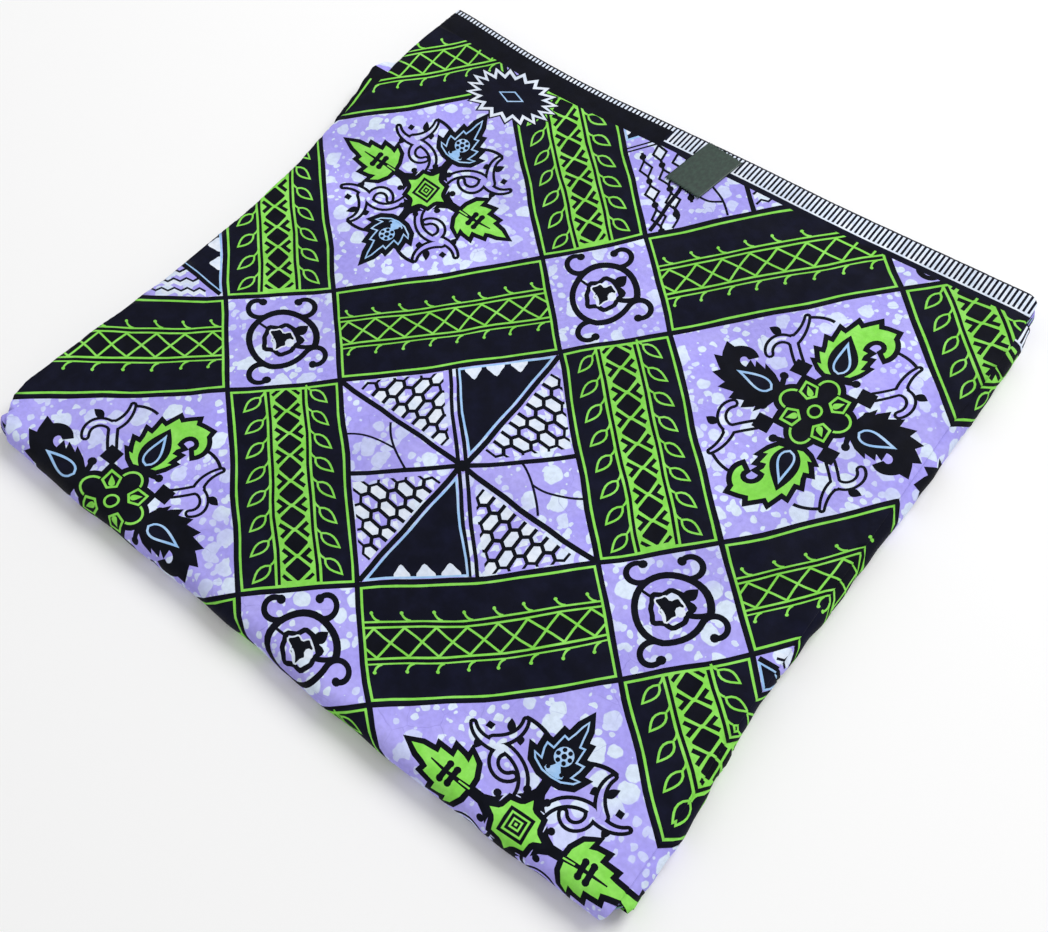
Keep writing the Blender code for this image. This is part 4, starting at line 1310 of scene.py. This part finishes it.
class Nodes:
    """Short names for the nodes of one material."""

    def __init__(self, name):
        self.material = bpy.data.materials.new(name)
        self.material.use_nodes = True
        self.tree = self.material.node_tree
        self.shader = self.tree.nodes["Principled BSDF"]
        self.uv = self.add("UVMap", uv_map="Cloth").outputs["UV"]

    def feed(self, node, key, value):
        """A socket's value: another node's output, a colour or a number."""
        if isinstance(value, bpy.types.NodeSocket):
            self.tree.links.new(value, node.inputs[key])
        elif isinstance(value, list):
            node.inputs[key].default_value = (*value, 1.0)
        else:
            node.inputs[key].default_value = value

    def add(self, kind, *values, **settings):
        node = self.tree.nodes.new("ShaderNode" + kind)
        for key, value in settings.items():
            setattr(node, key, value)
        for key, value in values:
            self.feed(node, key, value)
        return node

    def noise(self, scale, detail=2.0, stretch=None):
        place = self.uv
        if stretch:
            place = self.add("Mapping", ("Scale", (*stretch, 1.0)), ("Vector", self.uv)).outputs["Vector"]
        return self.add("TexNoise", ("Scale", scale), ("Detail", detail), ("Vector", place)).outputs["Fac"]

    def math(self, kind, a, b):
        return self.add("Math", (0, a), (1, b), operation=kind).outputs[0]

    def ramp(self, value, low, high, out_low=0.0, out_high=1.0):
        ends = (("From Min", low), ("From Max", high), ("To Min", out_low), ("To Max", out_high))
        node = self.add("MapRange", ("Value", value), *ends, interpolation_type="SMOOTHSTEP")
        return node.outputs["Result"]

    def mix(self, amount, a, b):
        return self.add("Mix", (0, amount), (6, a), (7, b), data_type="RGBA").outputs[2]

    def voronoi(self, scale, vector, feature="F1"):
        return self.add("TexVoronoi", ("Scale", scale), ("Vector", vector), feature=feature,
                        voronoi_dimensions="2D")

    def warped(self, scale, amount):
        noise = self.add("TexNoise", ("Scale", scale), ("Vector", self.uv))
        return self.add("VectorMath", (0, noise.outputs["Color"]), (1, (amount, amount, 0.0)), (2, self.uv),
                        operation="MULTIPLY_ADD").outputs[0]

    def weave(self, strength):
        """Fine threads both ways with soft slubs, as bump."""
        waves = [self.add("TexWave", ("Scale", THREAD_SCALE), ("Distortion", 0.6), ("Vector", self.uv),
                          bands_direction=direction).outputs["Fac"] for direction in ("X", "Y")]
        height = self.math("MULTIPLY", *waves)
        for scale, share in ((420.0, 1.4), (55.0, 2.2)):
            height = self.math("ADD", height, self.math("MULTIPLY", self.noise(scale, 3.0), share))
        bump = self.add("Bump", ("Strength", strength), ("Distance", THREAD_DEPTH), ("Height", height))
        self.feed(self.shader, "Normal", bump.outputs["Normal"])

    def finish(self, color, rough, sheen, specular=0.08):
        """Base colour with wear, uneven roughness and sheen."""
        soft = self.ramp(self.noise(9.0, 3.0), 0.35, 0.65, 0.90, 1.04)
        fine = self.ramp(self.noise(260.0, 3.0), 0.30, 0.70, 0.93, 1.05)
        wear = self.math("MULTIPLY", soft, fine)
        worn = self.add("VectorMath", (0, color), ("Scale", wear), operation="SCALE")
        uneven = self.ramp(self.noise(36.0, 3.0), 0.3, 0.7, rough - 0.06, rough + 0.07)
        for key, value in (("Base Color", worn.outputs[0]), ("Roughness", uneven), ("Sheen Weight", sheen),
                           ("Sheen Roughness", 0.45), ("Specular IOR Level", specular)):
            self.feed(self.shader, key, value)
        return self.material


LAVENDER_COLOR, DEEP_LAVENDER_COLOR, PALE_COLOR = srgb("ABA3F8"), srgb("B6AFFA"), srgb("DFEDFF")
CRACKLE_COLOR = srgb("7C74C4")


def plain_cotton(name, code, faded):
    n = Nodes(name)
    color = n.mix(n.ramp(n.noise(70.0, 4.0), 0.35, 0.75), srgb(code), srgb(faded))
    n.weave(0.35)
    return n.finish(color, 0.70, 0.02)


def spotted_cotton():
    """Lavender ground with pale round resist spots and thin crackle."""
    n = Nodes("cotton_lavender")
    shift = n.warped(95.0, 0.0060)
    spots = 0.0
    for scale, low, high in ((62.0, -0.10, 0.50), (135.0, -0.25, 0.42)):
        cells = n.voronoi(scale, shift)
        size = n.add("SeparateColor", (0, cells.outputs["Color"])).outputs[0]
        radius = n.ramp(size, 0.0, 1.0, low, high)
        spot = n.ramp(n.math("SUBTRACT", radius, cells.outputs["Distance"]), -0.015, 0.045)
        spots = n.math("MAXIMUM", spots, spot)
    patchy = n.ramp(n.noise(16.0, 2.0), 0.40, 0.56, 0.60, 1.0)
    ground = n.mix(n.ramp(n.noise(30.0, 3.0), 0.3, 0.7), LAVENDER_COLOR, DEEP_LAVENDER_COLOR)
    color = n.mix(n.math("MULTIPLY", spots, patchy), ground, PALE_COLOR)
    lines = n.voronoi(52.0, n.warped(40.0, 0.018), "DISTANCE_TO_EDGE")
    crackle = n.ramp(lines.outputs["Distance"], 0.004, 0.022, 0.34, 0.0)
    crackle = n.math("MULTIPLY", crackle, n.ramp(n.noise(24.0, 2.0), 0.50, 0.62))
    n.weave(0.35)
    return n.finish(n.mix(crackle, color, CRACKLE_COLOR), 0.70, 0.03)


# How far each colour is stretched along the layers, where it begins and ends in the noise, and the colour
EDGE_PIECES = (((26.0, 7.0), 0.50, 0.505, "ABA3F8"), ((61.0, 9.0), 0.60, 0.605, "64C838"),
               ((97.0, 5.0), 0.62, 0.63, "0D0E1C"))


def edge_cotton():
    """Folded edges of the hidden layers: the print's colours in long uneven pieces."""
    n = Nodes("cotton_edges")
    color = srgb("15172E")
    for stretch, low, high, code in EDGE_PIECES:
        color = n.mix(n.ramp(n.noise(1.0, 1.0, stretch), low, high), color, srgb(code))
    n.weave(0.35)
    return n.finish(color, 0.72, 0.03)


def label_material():
    n = Nodes("label_green")
    color = n.mix(n.ramp(n.noise(14.0, 4.0), 0.35, 0.70), srgb("1D322A"), srgb("294237"))
    n.weave(0.10)
    return n.finish(color, 0.46, 0.04, 0.5)


materials = [plain_cotton("cotton_ink", "080A14", "0E101D"),
             plain_cotton("cotton_navy", "0B0D1D", "121429"),
             spotted_cotton(),
             plain_cotton("cotton_lime", "86DC52", "98E868"),
             plain_cotton("cotton_sky", "9AC6F6", "BCDAFB"),
             plain_cotton("cotton_white", "DDE8FA", "EFF5FF")]
outer = build_outer(materials)
second = build_second(materials)
stack = build_stack(edge_cotton())
label = build_label(label_material())
for piece, node, slot in ((outer, "top_panel", "printed_cotton"),
                          (second, "second_panel", "printed_cotton"),
                          (stack, "folded_stack", "printed_cotton"),
                          (label, "selvedge_label", "label_cloth")):
    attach(piece, "root")
    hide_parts(node)

# Floor, light and camera
FLOOR_HALF, FLOOR_DROP = 20.0, 0.0002
FLOOR_SHADE, FLOOR_ROUGH = 0.97, 0.9
KEY_LIGHT = ("soft_key", 2.4, 112.0, (0.90, 2.6, 3.0))
FILL_LIGHT = ("soft_fill", 2.2, 3.5, (-1.6, -0.4, 1.8))
WORLD_STRENGTH = 0.51
FOCAL_PX, PHOTO_WIDTH_PX = 1083.65, 1048
SENSOR_WIDTH = 36.0
ELEVATION, AZIMUTH, ROLL = (math.radians(v) for v in (60.70, 43.54, -6.27))
CAMERA_PLACE = (0.34285, -0.3614 + BOX_SHIFT_Y, 0.7301)

floor_mesh = bpy.data.meshes.new("floor")
floor_corners = rect(-FLOOR_HALF, -FLOOR_HALF, FLOOR_HALF, FLOOR_HALF).tolist()
floor_mesh.from_pydata([(x, y, 0.0) for x, y in floor_corners], [], [(0, 1, 2, 3)])
floor = add_item("floor", floor_mesh)
floor_paint = bpy.data.materials.new("floor_paint")
floor_paint.use_nodes = True
floor_shader = floor_paint.node_tree.nodes["Principled BSDF"]
floor_shader.inputs["Base Color"].default_value = (FLOOR_SHADE, FLOOR_SHADE, FLOOR_SHADE, 1.0)
floor_shader.inputs["Roughness"].default_value = FLOOR_ROUGH
floor_mesh.materials.append(floor_paint)
floor.location.z = -FLOOR_DROP


def add_light(name, size, energy, at):
    """Round soft light that points at the origin."""
    data = bpy.data.lights.new(name, "AREA")
    data.shape = "DISK"
    data.size = size
    data.energy = energy
    item = add_item(name, data)
    item.location = at
    item.rotation_mode = "QUATERNION"
    item.rotation_quaternion = (-Vector(at)).to_track_quat("-Z", "Y")


for light in (KEY_LIGHT, FILL_LIGHT):
    add_light(*light)
world = bpy.data.worlds.new("studio")
world.use_nodes = True
world.node_tree.nodes["Background"].inputs["Color"].default_value = (1.0, 1.0, 1.0, 1.0)
world.node_tree.nodes["Background"].inputs["Strength"].default_value = WORLD_STRENGTH
bpy.context.scene.world = world
bpy.context.scene.view_settings.view_transform = "Standard"

camera_data = bpy.data.cameras.new("camera")
camera = add_item("camera", camera_data)
camera_data.sensor_width = SENSOR_WIDTH
camera_data.sensor_fit = "HORIZONTAL"
camera_data.lens = FOCAL_PX / PHOTO_WIDTH_PX * SENSOR_WIDTH
level = math.cos(ELEVATION)
forward = Vector((-math.sin(AZIMUTH) * level, math.cos(AZIMUTH) * level, -math.sin(ELEVATION)))
right = Vector((math.cos(AZIMUTH), math.sin(AZIMUTH), 0.0))
up = right.cross(forward)
right_rolled = math.cos(ROLL) * right + math.sin(ROLL) * up
up_rolled = -math.sin(ROLL) * right + math.cos(ROLL) * up
turn = Matrix((right_rolled, up_rolled, -forward)).transposed().to_4x4()
camera.matrix_world = Matrix.Translation(CAMERA_PLACE) @ turn
bpy.context.scene.camera = camera
